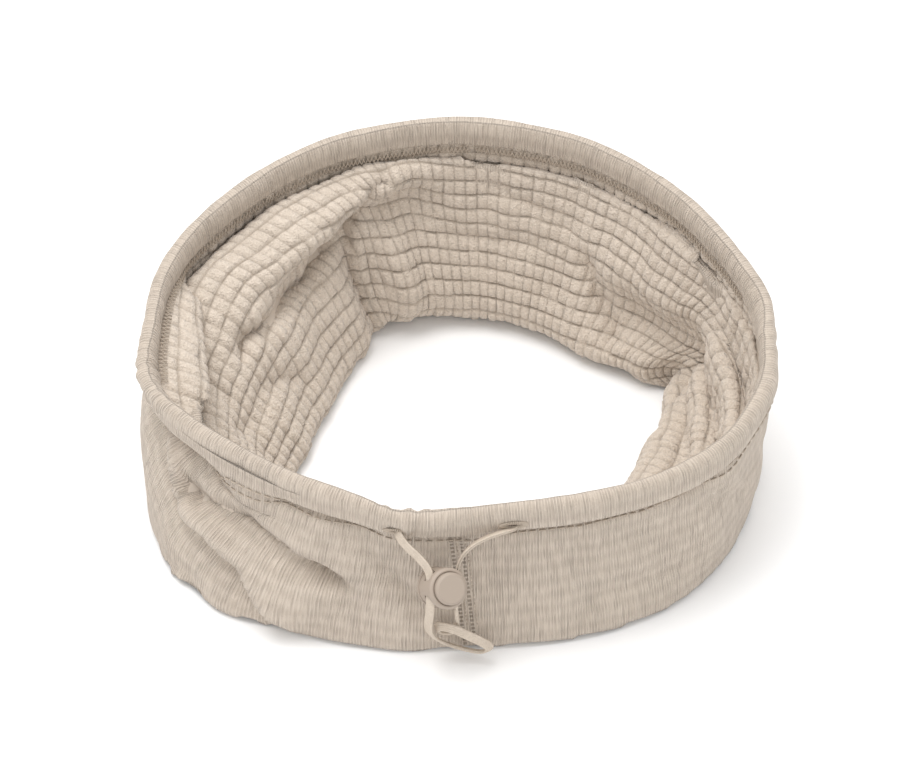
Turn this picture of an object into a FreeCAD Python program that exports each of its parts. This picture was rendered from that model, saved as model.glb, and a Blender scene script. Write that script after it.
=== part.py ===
"""Neck gaiter: a soft grid-fleece tube with a drawcord hem and a sprung cord lock.

Frame: millimetres, +Z up, +X to the wearer's left seen from the front, -Y to the front.
The origin is on the surface that the gaiter rests on, under the middle of the fabric tube.
"""
import FreeCAD, Part
import math
import os

import Sketcher
from FreeCAD import Placement, Rotation, Vector

doc = FreeCAD.newDocument("neck_gaiter")

# ---------------------------------------------------------------- driving sizes
SIZES = [
    # fabric tube, standing open on its lower edge
    ("rim_width", 181.0),          # outside width of the hem
    ("rim_front", 65.0),           # hem's outside, forward of the origin
    ("rim_back", 73.0),            # hem's outside, behind the origin
    ("front_height", 50.0),        # top of the hem at the front
    ("back_height", 70.0),         # top of the hem at the back
    ("rim_end_radius", 58.0),      # radius of the rounded left and right ends
    ("fabric_thickness", 3.0),     # knit face and fleece pile together
    ("belly_width", 182.0),        # outside width a third of the way up
    ("belly_front", 72.5),
    ("belly_back", 70.0),
    ("belly_height", 21.0),
    ("foot_width", 176.0),         # outside width where the wall meets the floor
    ("foot_front", 74.0),
    ("foot_back", 66.0),
    ("hole_width", 104.0),         # clear opening between the turned-in lower edges
    ("hole_front", 44.0),
    ("hole_back", 54.0),
    ("hole_end_radius", 44.0),
    # hem and its cord tunnel
    ("hem_height", 12.0),
    ("hem_thickness", 5.4),
    ("hem_proud", 0.8),            # the hem stands this far outside the wall
    ("hem_lap", 1.5),              # the wall runs this far up inside the hem
    ("tunnel_height", 7.4),
    ("tunnel_gap", 1.9),
    # threads
    ("thread_diameter", 0.6),
    ("needle_spacing", 2.6),       # between the two needle rows of the coverstitch
    ("needle_drop", 0.9),          # lower needle row, below the hem's edge
    ("looper_rise", 2.6),          # middle of the looper band, above the hem's edge
    ("looper_width", 3.4),
    ("looper_thickness", 0.6),
    ("seam_width", 3.2),           # flatlock seam down the front
    ("seam_thickness", 0.7),
    ("seam_start", 1.8),           # below the hem's edge
    ("seam_end", 0.4),             # above the floor
    ("edge_thread_inset", 7.0),    # lower hem's stitching, from the opening's edge
    # eyelets for the drawcord, each side of the front seam
    ("eyelet_offset", 15.5),
    ("eyelet_drop", 7.0),          # middle of the eyelet below the top of the hem
    ("eyelet_length", 8.0),
    ("eyelet_slot", 3.0),
    ("eyelet_rib", 1.0),
    ("eyelet_proud", 0.5),
    ("patch_length", 12.0),
    ("patch_height", 6.6),
    ("patch_thickness", 0.3),
    ("patch_gap", 0.02),           # between the tunnel's wall and the patch
    # elastic drawcord: flat, and round with the same section area where it hangs free
    ("cord_width", 2.8),
    ("cord_thickness", 1.0),
    ("free_cord_diameter", 1.8),
    # cord lock
    ("lock_diameter", 11.4),
    ("lock_base_thickness", 1.4),
    ("lock_ring_top", 9.4),        # front face of the ring above the base's back face
    ("lock_wall", 0.7),
    ("lock_bore", 9.2),            # opening of the ring
    ("lock_shoulder", 7.1),        # underside of the ring, where the cords are gripped
    ("window_width", 2.4),
    ("window_play", 0.3),          # window's height more than the cord's width
    ("window_offset", 3.9),        # each cord from the lock's axis
    ("press_travel", 1.6),
    ("button_gap", 0.08),          # radial running clearance of the button in the ring
    ("button_proud", 1.6),
    ("button_dome", 0.5),
    ("button_bevel", 0.7),
    ("ring_bevel", 0.6),
    ("bore_bevel", 0.2),
    ("housing_waist", 0.2),        # housing's side set back under the ring
    ("base_bevel", 0.5),
    ("pocket_floor", 0.8),         # under the spring
    ("pocket_wall", 0.1),          # spring pocket's wall past the stem's bore
    ("joint_gap", 0.02),           # between the housing and the base
    ("snap_gap", 0.05),            # radial, between the base's lip and the housing
    ("stop_gap", 0.1),             # under the button when it is pressed right in
    ("stem_diameter", 4.2),
    ("stem_bore", 3.0),
    ("lip_wall", 0.3),             # lip of the base that snaps into the housing
    ("lip_height", 0.5),
    ("foot_gap", 0.15),            # radial clearance of the foot inside the lip
    ("foot_thickness", 0.8),
    ("cord_play", 0.1),            # between the gripping foot and the cord at rest
    ("spring_diameter", 2.6),
    ("spring_wire", 0.36),
    ("spring_turns", 7.0),
    ("lock_x", -6.6),              # middle of the base's back face
    ("lock_y", -75.0),
    ("lock_z", 27.8),
    ("lock_lean", 45.0),           # degrees back from upright
    ("lock_turn", 24.8),           # degrees about the cords' direction
]

sheet = doc.addObject("Spreadsheet::Sheet", "sizes")
for row, (alias, value) in enumerate(SIZES, start=1):
    sheet.set("A%d" % row, alias)
    sheet.set("B%d" % row, repr(value))
    sheet.setAlias("B%d" % row, alias)
doc.recompute()


def size(alias):
    """A driving size, read from the sheet."""
    return float(getattr(sheet, alias))


sub_parts = []


def keep(feature, label):
    """Name a finished sub-part and list it for writing."""
    feature.Label = label
    sub_parts.append(feature)
    return feature


def solid_feature(label, shape, placement=None):
    """A sub-part whose shape is worked out by Part's own functions."""
    feature = doc.addObject("Part::Feature", label)
    feature.Shape = shape
    if placement is not None:
        feature.Placement = placement
    return keep(feature, label)


# ---------------------------------------------------------------- ovals round the neck
def oval_edges(half_width, half_depth, end_radius):
    """Edges of a four-centred oval, from the middle of the back round to it again."""
    side = half_width - end_radius
    long_radius = (side ** 2 + half_depth ** 2 - end_radius ** 2) / (2.0 * (half_depth - end_radius))
    reach = long_radius - end_radius
    join_x = side + end_radius * side / reach
    join_y = end_radius * (long_radius - half_depth) / reach
    half_turn = math.asin(side / reach) / 2.0
    mid_x = long_radius * math.sin(half_turn)
    mid_y = half_depth - long_radius + long_radius * math.cos(half_turn)
    back, front = Vector(0, half_depth, 0), Vector(0, -half_depth, 0)
    return [
        Part.Arc(back, Vector(mid_x, mid_y, 0), Vector(join_x, join_y, 0)).toShape(),
        Part.Arc(Vector(join_x, join_y, 0), Vector(half_width, 0, 0), Vector(join_x, -join_y, 0)).toShape(),
        Part.Arc(Vector(join_x, -join_y, 0), front, Vector(-join_x, -join_y, 0)).toShape(),
        Part.Arc(Vector(-join_x, -join_y, 0), Vector(-half_width, 0, 0), Vector(-join_x, join_y, 0)).toShape(),
        Part.Arc(Vector(-join_x, join_y, 0), Vector(-mid_x, mid_y, 0), back).toShape(),
    ]


def level(width, front, back, end_radius, front_z, back_z, inset=0.0):
    """Closed oval wire round the neck, sloping from its front height to its back height."""
    depth = front + back
    slope = math.atan2(back_z - front_z, depth)
    half_depth = depth / 2.0 / math.cos(slope) - inset
    wire = Part.Wire(oval_edges(width / 2.0 - inset, half_depth, end_radius - inset))
    wire.Placement = Placement(
        Vector(0, (back - front) / 2.0, (front_z + back_z) / 2.0),
        Rotation(Vector(1, 0, 0), math.degrees(slope)),
    )
    return wire


# The hem's plane: the top of the hem, and everything sewn to it, slopes with this.
rim_depth = size("rim_front") + size("rim_back")
rim_slope = math.atan2(size("back_height") - size("front_height"), rim_depth)
rim_half_width = size("rim_width") / 2.0
rim_half_depth = rim_depth / 2.0 / math.cos(rim_slope)
rim_placement = Placement(
    Vector(
        0,
        (size("rim_back") - size("rim_front")) / 2.0,
        (size("front_height") + size("back_height")) / 2.0,
    ),
    Rotation(Vector(1, 0, 0), math.degrees(rim_slope)),
)


def rim_path(inset, drop):
    """Edges parallel to the rim, inset from its outside and a drop below its top."""
    edges = oval_edges(rim_half_width - inset, rim_half_depth - inset, size("rim_end_radius") - inset)
    for edge in edges:
        edge.translate(Vector(0, 0, -drop))
    return edges


def rounded_section(centre, thickness, height, corner):
    """Closed section in the YZ plane: a rectangle with rounded corners."""
    y0, y1 = centre.y - thickness / 2.0, centre.y + thickness / 2.0
    z0, z1 = centre.z - height / 2.0, centre.z + height / 2.0
    shift = corner * (1.0 - math.sqrt(0.5))
    x = centre.x

    def line(ya, za, yb, zb):
        return Part.LineSegment(Vector(x, ya, za), Vector(x, yb, zb)).toShape()

    def arc(ya, za, ym, zm, yb, zb):
        return Part.Arc(Vector(x, ya, za), Vector(x, ym, zm), Vector(x, yb, zb)).toShape()

    return Part.Wire([
        line(y0 + corner, z0, y1 - corner, z0),
        arc(y1 - corner, z0, y1 - shift, z0 + shift, y1, z0 + corner),
        line(y1, z0 + corner, y1, z1 - corner),
        arc(y1, z1 - corner, y1 - shift, z1 - shift, y1 - corner, z1),
        line(y1 - corner, z1, y0 + corner, z1),
        arc(y0 + corner, z1, y0 + shift, z1 - shift, y0, z1 - corner),
        line(y0, z1 - corner, y0, z0 + corner),
        arc(y0, z0 + corner, y0 + shift, z0 + shift, y0 + corner, z0),
    ])


def sweep(edges, section):
    """Solid swept by a section along flat edges, upright all the way."""
    maker = Part.BRepOffsetAPI.MakePipeShell(Part.Wire(edges))
    maker.setBiNormalMode(Vector(0, 0, 1))
    maker.add(section)
    maker.build()
    maker.makeSolid()
    return maker.shape()


def band_round_rim(inset, drop, thickness, height, corner):
    """Band of rounded section all round the rim, its middle at the inset and drop given."""
    middle = Vector(0, rim_half_depth - inset, -drop)
    return sweep(rim_path(inset, drop), rounded_section(middle, thickness, height, corner))


# ---------------------------------------------------------------- fabric tube
fabric = size("fabric_thickness")
hem_middle = size("hem_thickness") / 2.0
hem_drop = size("hem_height") / 2.0
wall_top_drop = size("hem_height") - size("hem_lap")
wall_inset = size("hem_proud")


def wall_levels(inset, lowest, overrun=0.0):
    """Levels of the wall from the floor to inside the hem, each moved in by the inset."""
    foot = level(size("foot_width"), size("foot_front"), size("foot_back"),
                 size("rim_end_radius"), lowest, lowest, inset)
    belly_rise = size("belly_height") * (size("back_height") / size("front_height") - 1.0)
    belly = level(size("belly_width"), size("belly_front"), size("belly_back"),
                  size("rim_end_radius"), size("belly_height"), size("belly_height") + belly_rise, inset)
    drop = wall_top_drop - overrun
    top = level(size("rim_width"), size("rim_front"), size("rim_back"), size("rim_end_radius"),
                size("front_height") - drop, size("back_height") - drop, inset + wall_inset)
    return [foot, belly, top]


outer_wall = Part.makeLoft(wall_levels(0.0, 0.0), True, False)
wall_cavity = Part.makeLoft(wall_levels(fabric, fabric), True, False)
hole_levels = [
    level(size("hole_width"), size("hole_front"), size("hole_back"), size("hole_end_radius"), z, z)
    for z in (-fabric, 2.0 * fabric)
]
floor_hole = Part.makeLoft(hole_levels, True, True)
wall = outer_wall.cut(wall_cavity).cut(floor_hole)

hem = band_round_rim(hem_middle, hem_drop, size("hem_thickness"), size("hem_height"),
                     hem_middle - 0.1)
hem.Placement = rim_placement
tunnel = band_round_rim(hem_middle, hem_drop, size("tunnel_gap"), size("tunnel_height"),
                        size("tunnel_gap") / 2.0 - 0.05)
tunnel.Placement = rim_placement
tube = wall.fuse(hem).cut(tunnel)


def rim_front_y(x, inset=0.0):
    """How far forward the hem's outside is, a distance x from the middle, in the rim's plane."""
    side = rim_half_width - size("rim_end_radius")
    end = size("rim_end_radius")
    long_radius = (side ** 2 + rim_half_depth ** 2 - end ** 2) / (2.0 * (rim_half_depth - end))
    return long_radius - rim_half_depth - math.sqrt((long_radius - inset) ** 2 - x ** 2)


def eyelet_placement(side):
    """Middle of an eyelet on the hem's outside: X along the hem, Z straight out of it."""
    x = side * size("eyelet_offset")
    step = 0.5
    along = math.atan2(rim_front_y(x + step) - rim_front_y(x - step), 2.0 * step)
    turn = Rotation(Vector(0, 0, 1), math.degrees(along)) * Rotation(Vector(1, 0, 0), 90.0)
    return rim_placement * Placement(Vector(x, rim_front_y(x), -size("eyelet_drop")), turn)


def slot_solid(length, width, low, high):
    """Solid slot with round ends, lying along X, from the low to the high Z."""
    radius = width / 2.0
    reach = length / 2.0 - radius
    wire = Part.Wire([
        Part.LineSegment(Vector(-reach, -radius, low), Vector(reach, -radius, low)).toShape(),
        Part.Arc(Vector(reach, -radius, low), Vector(reach + radius, 0, low), Vector(reach, radius, low)).toShape(),
        Part.LineSegment(Vector(reach, radius, low), Vector(-reach, radius, low)).toShape(),
        Part.Arc(Vector(-reach, radius, low), Vector(-reach - radius, 0, low), Vector(-reach, -radius, low)).toShape(),
    ])
    return Part.Face(wire).extrude(Vector(0, 0, high - low))


SIDES = {"left": -1.0, "right": 1.0}
hem_skin = (size("hem_thickness") - size("tunnel_gap")) / 2.0
for side in SIDES.values():
    slot = slot_solid(size("eyelet_length"), size("eyelet_slot"), -hem_skin - 0.2, 1.0)
    slot.Placement = eyelet_placement(side)
    tube = tube.cut(slot)
solid_feature("fleece_tube", tube.Solids[0])

# ---------------------------------------------------------------- hem and seam threads
needle_rows = []
for row in (0.0, size("needle_spacing")):
    thread = size("thread_diameter")
    inset = wall_inset - thread * 0.2 if row == 0.0 else -thread * 0.2
    drop = size("hem_height") + size("needle_drop") - row
    ring = band_round_rim(inset, drop, thread, thread, thread / 2.0 - 0.02)
    ring.Placement = rim_placement
    needle_rows.append(ring)
solid_feature("hem_needle_threads", Part.makeCompound(needle_rows))

looper = band_round_rim(size("hem_thickness") + size("looper_thickness") * 0.3, size("hem_height") - size("looper_rise"),
                        size("looper_thickness"), size("looper_width"), size("looper_thickness") / 2.0 - 0.02)
solid_feature("hem_looper_thread", looper, rim_placement)

edge_inset = size("edge_thread_inset")
edge_ring = level(size("hole_width"), size("hole_front"), size("hole_back"), size("hole_end_radius"),
                  fabric, fabric, -edge_inset)
edge_path = edge_ring.Edges
edge_start = edge_path[0].valueAt(edge_path[0].FirstParameter)
edge_section = rounded_section(Vector(edge_start.x, edge_start.y, fabric + size("thread_diameter") * 0.4),
                               size("looper_width"), size("thread_diameter"),
                               size("thread_diameter") / 2.0 - 0.02)
solid_feature("lower_hem_thread", sweep(edge_path, edge_section))

# The flatlock seam lies on the front of the wall, from under the hem to the floor: a slice
# of the wall's own outside, moved forward by half its thickness.
seam_thickness = size("seam_thickness")
seam_top = size("front_height") - size("hem_height") - size("seam_start")
seam_slice = Part.makeBox(
    size("seam_width"), size("foot_front"), seam_top - size("seam_end"),
    Vector(-size("seam_width") / 2.0, -size("foot_front") - seam_thickness, size("seam_end")),
)
seam_front = Part.makeLoft(wall_levels(-seam_thickness * 0.5, 0.0), True, False)
seam_back = Part.makeLoft(wall_levels(seam_thickness * 0.5, -1.0), True, False)
seam = seam_front.common(seam_slice).cut(seam_back)
solid_feature("front_seam_thread", seam.Solids[0])

# ---------------------------------------------------------------- eyelets and their patches
for name, side in SIDES.items():
    rib = size("eyelet_rib")
    outside = slot_solid(size("eyelet_length") + 2.0 * rib, size("eyelet_slot") + 2.0 * rib,
                         -0.5, size("eyelet_proud"))
    inside = slot_solid(size("eyelet_length"), size("eyelet_slot"), -1.0, 1.0)
    solid_feature(name + "_eyelet", outside.cut(inside), eyelet_placement(side))


def front_strip(x0, x1, inset0, inset1, low, high):
    """Solid strip that follows the front of the hem between two insets, in the rim's frame."""
    def bow(inset, start, end):
        points = [Vector(x, rim_front_y(x, inset), low) for x in (start, (start + end) / 2.0, end)]
        return points[0], Part.Arc(*points).toShape(), points[2]

    a, outer, b = bow(inset0, x0, x1)
    c, inner, d = bow(inset1, x1, x0)
    ends = [Part.LineSegment(b, c).toShape(), Part.LineSegment(d, a).toShape()]
    face = Part.Face(Part.Wire([outer, ends[0], inner, ends[1]]))
    return face.extrude(Vector(0, 0, high - low))


for name, side in SIDES.items():
    middle = side * size("eyelet_offset")
    half_length = size("patch_length") / 2.0
    half_height = size("patch_height") / 2.0
    outer_face = hem_skin + size("patch_gap")
    strip = front_strip(middle - half_length, middle + half_length, outer_face,
                        outer_face + size("patch_thickness"), -hem_drop - half_height,
                        -hem_drop + half_height)
    strip.Placement = rim_placement
    opening = slot_solid(size("eyelet_length"), size("eyelet_slot"), -2.0 * hem_skin, 1.0)
    opening.Placement = eyelet_placement(side)
    solid_feature(name + "_eyelet_patch", strip.cut(opening).Solids[0])

# ---------------------------------------------------------------- drawcord in its tunnel
cord_band = band_round_rim(hem_middle, hem_drop, size("cord_thickness"), size("cord_width"),
                           size("cord_thickness") / 2.0 - 0.05)
cord_band.Placement = rim_placement
gap_between_ends = Part.makeBox(
    2.0 * size("eyelet_offset") - size("eyelet_length") / 2.0, 30.0, size("back_height"),
    Vector(-size("eyelet_offset") + size("eyelet_length") / 4.0, -size("rim_front") - 5.0, 0.0),
)
solid_feature("drawcord_tunnel_run", cord_band.cut(gap_between_ends).Solids[0])

# ---------------------------------------------------------------- cord lock
lock_turn = Rotation(Vector(1, 0, 0), size("lock_lean")) * Rotation(Vector(0, 1, 0), size("lock_turn"))
lock_placement = Placement(Vector(size("lock_x"), size("lock_y"), size("lock_z")), lock_turn)


def origin_plane(body, role):
    """One of a body's own base planes."""
    return [plane for plane in body.Origin.OriginFeatures if plane.Role == role][0]


def turned_body(label, outline):
    """Body turned about its own Z axis from an outline of (radius, height) expressions."""
    body = doc.addObject("PartDesign::Body", label)
    sketch = body.newObject("Sketcher::SketchObject", label + "_outline")
    sketch.AttachmentSupport = [(origin_plane(body, "XZ_Plane"), "")]
    sketch.MapMode = "FlatFace"
    count = len(outline)
    for index in range(count):
        # Start points only roughly right: the constraints below bring them to size.
        start = Vector(1.0 + 0.2 * index, 0.3 * index, 0)
        end = Vector(1.0 + 0.2 * ((index + 1) % count), 0.3 * ((index + 1) % count), 0)
        sketch.addGeometry(Part.LineSegment(start, end), False)
    for index in range(count):
        sketch.addConstraint(Sketcher.Constraint("Coincident", index, 2, (index + 1) % count, 1))
    for index, (radius, height) in enumerate(outline):
        for axis, expression in (("DistanceX", radius), ("DistanceY", height)):
            place = sketch.addConstraint(Sketcher.Constraint(axis, -1, 1, index, 1, 1.0))
            sketch.setExpression("Constraints[%d]" % place, expression)
    turned = body.newObject("PartDesign::Revolution", label + "_turned")
    turned.Profile = sketch
    turned.ReferenceAxis = (sketch, ["V_Axis"])
    turned.Angle = 360.0
    sketch.Visibility = False
    return body


def cut_windows(body, label, width, height, low, offset, length):
    """Pocket two windows right through a body along its own Y axis."""
    for name, side in SIDES.items():
        sketch = body.newObject("Sketcher::SketchObject", label + "_" + name)
        sketch.AttachmentSupport = [(origin_plane(body, "XZ_Plane"), "")]
        sketch.MapMode = "FlatFace"
        corners = [Vector(0, 0, 0), Vector(1, 0, 0), Vector(1, 1, 0), Vector(0, 1, 0)]
        for index in range(4):
            sketch.addGeometry(Part.LineSegment(corners[index], corners[(index + 1) % 4]), False)
        for index in range(4):
            sketch.addConstraint(Sketcher.Constraint("Coincident", index, 2, (index + 1) % 4, 1))
        for index, kind in enumerate(("Horizontal", "Vertical", "Horizontal", "Vertical")):
            sketch.addConstraint(Sketcher.Constraint(kind, index))
        inner = "%s - %s / 2" % (offset, width)
        outer = "%s + %s / 2" % (offset, width)
        first, second = (inner, outer) if side > 0 else ("-(%s)" % outer, "-(%s)" % inner)
        for axis, line, expression in (
            ("DistanceX", 0, first),
            ("DistanceX", 1, second),
            ("DistanceY", 0, low),
            ("DistanceY", 2, "%s + %s" % (low, height)),
        ):
            place = sketch.addConstraint(Sketcher.Constraint(axis, -1, 1, line, 1, 0.5))
            sketch.setExpression("Constraints[%d]" % place, expression)
        pocket = body.newObject("PartDesign::Pocket", label + "_" + name + "_cut")
        pocket.Profile = sketch
        pocket.Type = 0
        pocket.Midplane = True
        pocket.setExpression("Length", length)
        sketch.Visibility = False
    return body


R_LOCK = "sizes.lock_diameter / 2"
R_SEAT = "sizes.lock_diameter / 2 - sizes.lock_wall"
R_BORE = "sizes.lock_bore / 2"
BASE = "sizes.lock_base_thickness"
RING_TOP = "sizes.lock_ring_top"
SHOULDER = "sizes.lock_shoulder"
R_SIDE = R_LOCK + " - sizes.housing_waist"
R_LIP = R_SEAT + " - sizes.snap_gap"
R_POCKET = "sizes.stem_bore / 2 - sizes.pocket_wall"
WINDOW_HEIGHT = "(sizes.cord_width + sizes.window_play)"
WINDOW_TOP = "(sizes.lock_shoulder - sizes.joint_gap)"

housing = turned_body("lock_housing", [
    (R_SEAT, BASE + " + sizes.joint_gap"),
    (R_SIDE, BASE + " + sizes.joint_gap"),
    (R_SIDE, SHOULDER),
    (R_LOCK, SHOULDER + " + sizes.housing_waist"),
    (R_LOCK, RING_TOP + " - sizes.ring_bevel"),
    (R_LOCK + " - sizes.ring_bevel", RING_TOP),
    (R_BORE + " + sizes.bore_bevel", RING_TOP),
    (R_BORE, RING_TOP + " - sizes.bore_bevel"),
    (R_BORE, SHOULDER),
    (R_SEAT, SHOULDER),
])
cut_windows(housing, "housing_window", "sizes.window_width", WINDOW_HEIGHT,
            "(%s - %s)" % (WINDOW_TOP, WINDOW_HEIGHT), "sizes.window_offset", "sizes.lock_diameter * 2")
housing.Placement = lock_placement
keep(housing, "lock_housing")

base = turned_body("lock_base", [
    ("0", "0"),
    (R_LOCK + " - sizes.base_bevel", "0"),
    (R_LOCK, "sizes.base_bevel"),
    (R_LOCK, BASE),
    (R_LIP, BASE),
    (R_LIP, BASE + " + sizes.lip_height"),
    (R_LIP + " - sizes.lip_wall", BASE + " + sizes.lip_height"),
    (R_LIP + " - sizes.lip_wall", BASE),
    (R_POCKET, BASE),
    (R_POCKET, "sizes.pocket_floor"),
    ("0", "sizes.pocket_floor"),
])
base.Placement = lock_placement
keep(base, "lock_base")

# The plunger is one moulding: button, hollow stem, and the foot that grips the cords.
FOOT_TOP = "(%s - sizes.window_play / 2 - sizes.cord_width - sizes.cord_play)" % WINDOW_TOP
HEAD_LOW = "(%s - sizes.window_play / 2 + sizes.press_travel + sizes.stop_gap)" % WINDOW_TOP
R_HEAD = "sizes.lock_bore / 2 - sizes.button_gap"
R_FOOT = R_LIP + " - sizes.lip_wall - sizes.foot_gap"
FACE = "sizes.lock_ring_top + sizes.button_proud"
button = turned_body("lock_button", [
    ("sizes.stem_bore / 2", FOOT_TOP + " - sizes.foot_thickness"),
    (R_FOOT, FOOT_TOP + " - sizes.foot_thickness"),
    (R_FOOT, FOOT_TOP),
    ("sizes.stem_diameter / 2", FOOT_TOP),
    ("sizes.stem_diameter / 2", HEAD_LOW),
    (R_HEAD, HEAD_LOW),
    (R_HEAD, FACE + " - sizes.button_dome"),
    (R_HEAD + " - sizes.button_bevel", FACE),
    ("0", FACE),
    ("0", HEAD_LOW),
    ("sizes.stem_bore / 2", HEAD_LOW),
])
button.Placement = lock_placement
keep(button, "lock_button")
doc.recompute()

# Compression spring between the base's pocket and the underside of the button.
end_gap = size("joint_gap")
spring_low = size("pocket_floor") + size("spring_wire") / 2.0 + end_gap
head_low = (size("lock_shoulder") - size("joint_gap") - size("window_play") / 2.0
            + size("press_travel") + size("stop_gap"))
spring_high = head_low - size("spring_wire") / 2.0 - end_gap
mean_radius = (size("spring_diameter") - size("spring_wire")) / 2.0
spring_length = spring_high - spring_low
helix = Part.makeHelix(spring_length / size("spring_turns"), spring_length, mean_radius)
helix_wire = Part.Wire(helix.Edges)
wire_circle = Part.Circle(Vector(mean_radius, 0, 0), Vector(0, 1, 0), size("spring_wire") / 2.0)
wire_ring = Part.Wire([wire_circle.toShape()])
spring = helix_wire.makePipeShell([wire_ring], True, True)
spring_placement = lock_placement * Placement(Vector(0, 0, spring_low), Rotation())
solid_feature("lock_spring", spring, spring_placement)

# ---------------------------------------------------------------- free cord
# The cord's points stay as chosen by hand: through the left eyelet, down through the lock,
# round the loop below it, up through the lock again and in at the right eyelet.
ROUTE_LEFT = [
    (-17.2, -63.2, 43.3),
    (-17.4, -68.0, 43.4),
    (-15.0, -71.6, 41.4),
    (-10.8, -74.0, 38.6),
    (-7.83, -76.5, 35.7),
    (-7.83, -79.69, 32.49),
]
ROUTE_LOOP = [
    (-7.83, -79.69, 32.49),
    (-7.83, -83.1, 29.05),
    (-8.3, -83.2, 23.6),
    (-8.6, -81.2, 18.4),
    (-8.3, -78.8, 13.2),
    (-6.4, -77.4, 8.6),
    (-2.4, -77.0, 5.6),
    (2.4, -77.2, 3.8),
    (6.6, -77.8, 3.4),
    (9.0, -78.6, 6.0),
    (7.0, -79.6, 9.6),
    (3.0, -80.2, 13.0),
    (-1.6, -80.4, 16.6),
    (-5.4, -79.6, 16.8),
    (-6.4, -77.6, 13.6),
    (-5.0, -75.9, 10.4),
    (-1.9, -75.5, 9.8),
    (-0.3, -76.1, 13.4),
    (-0.4, -78.0, 18.2),
    (-0.75, -80.4, 22.4),
    (-0.75, -80.91, 26.9),
    (-0.75, -77.37, 30.17),
]
ROUTE_RIGHT = [
    (-0.75, -77.37, 30.17),
    (-0.75, -74.2, 33.4),
    (0.6, -72.0, 36.8),
    (3.4, -70.9, 40.2),
    (7.6, -70.0, 42.6),
    (12.2, -69.2, 44.0),
    (15.6, -67.6, 43.4),
    (16.0, -63.2, 43.3),
]


def route_wire(points):
    """Straight runs joined by arcs as large as the two runs beside each point allow."""
    corners = [Vector(*point) for point in points]
    edges = []
    radii = []
    last = corners[0]
    for before, here, after in zip(corners, corners[1:], corners[2:]):
        back = before - here
        onward = after - here
        shorter = min(back.Length, onward.Length)
        back.normalize()
        onward.normalize()
        turn = math.pi - back.getAngle(onward)
        trim = 0.45 * shorter
        radius = trim / math.tan(turn / 2.0)
        start = here + back * trim
        end = here + onward * trim
        bisector = back + onward
        bisector.normalize()
        middle = here + bisector * (radius / math.cos(turn / 2.0) - radius)
        edges.append(Part.LineSegment(last, start).toShape())
        edges.append(Part.Arc(start, middle, end).toShape())
        radii.append(radius)
        last = end
    edges.append(Part.LineSegment(last, corners[-1]).toShape())
    return Part.Wire(edges), radii


def cord_tube(label, points):
    """Round tube along a route, checked against its section times its length."""
    path, radii = route_wire(points)
    start = Vector(*points[0])
    heading = Vector(*points[1]) - start
    radius = size("free_cord_diameter") / 2.0
    section = Part.Wire([Part.Circle(start, heading, radius).toShape()])
    maker = Part.BRepOffsetAPI.MakePipeShell(path)
    maker.add(section)
    maker.build()
    maker.makeSolid()
    tube_solid = maker.shape()
    expected = math.pi * radius ** 2 * path.Length
    print("%s: length %.1f mm, volume %.3f of section x length, radii %s" % (
        label, path.Length, tube_solid.Volume / expected, ["%.1f" % r for r in radii]))
    return solid_feature(label, tube_solid)


cord_tube("drawcord_left_leg", ROUTE_LEFT)
cord_tube("drawcord_loop", ROUTE_LOOP)
cord_tube("drawcord_right_leg", ROUTE_RIGHT)

# ---------------------------------------------------------------- check and write
doc.recompute()
for item in doc.Objects:
    if "Invalid" in item.State or "Error" in item.State:
        raise RuntimeError("%s failed: %s" % (item.Label, item.State))
for item in sub_parts:
    if item.Shape.isNull() or not item.Shape.isValid():
        raise RuntimeError("%s has no valid shape" % item.Label)
    if not item.Shape.Solids:
        raise RuntimeError("%s has no solid" % item.Label)

os.makedirs("parts", exist_ok=True)
for item in sub_parts:
    item.Shape.exportStep("parts/%s.step" % item.Label)
    box = item.Shape.BoundBox
    print("%-22s solids %d  volume %8.2f  x %.1f..%.1f  y %.1f..%.1f  z %.1f..%.1f" % (
        item.Label, len(item.Shape.Solids), item.Shape.Volume,
        box.XMin, box.XMax, box.YMin, box.YMax, box.ZMin, box.ZMax))
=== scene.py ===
"""A neck gaiter of grid fleece: a fabric tube standing in soft folds, with an elastic
drawcord in its upper hem and a round push-button cord lock at the front.

Metres, +Z up, -Y to the front, the origin on the resting surface under the middle.
"""

import math

import bpy
import numpy as np
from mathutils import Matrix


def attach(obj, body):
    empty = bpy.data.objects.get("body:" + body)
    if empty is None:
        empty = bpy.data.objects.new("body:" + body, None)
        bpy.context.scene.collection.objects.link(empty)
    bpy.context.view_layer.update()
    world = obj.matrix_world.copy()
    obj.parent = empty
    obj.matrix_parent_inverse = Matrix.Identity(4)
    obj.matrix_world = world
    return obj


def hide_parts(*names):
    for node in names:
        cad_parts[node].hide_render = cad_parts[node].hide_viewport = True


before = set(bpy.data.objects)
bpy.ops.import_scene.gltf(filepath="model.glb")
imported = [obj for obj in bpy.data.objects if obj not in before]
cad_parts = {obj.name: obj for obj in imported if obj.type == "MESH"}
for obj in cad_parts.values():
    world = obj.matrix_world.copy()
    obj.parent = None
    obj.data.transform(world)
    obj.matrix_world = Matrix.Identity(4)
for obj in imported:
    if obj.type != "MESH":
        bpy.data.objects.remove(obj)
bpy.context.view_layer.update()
bpy.ops.object.select_all(action="DESELECT")
MM = 0.001
random = np.random.default_rng(7)

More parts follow.
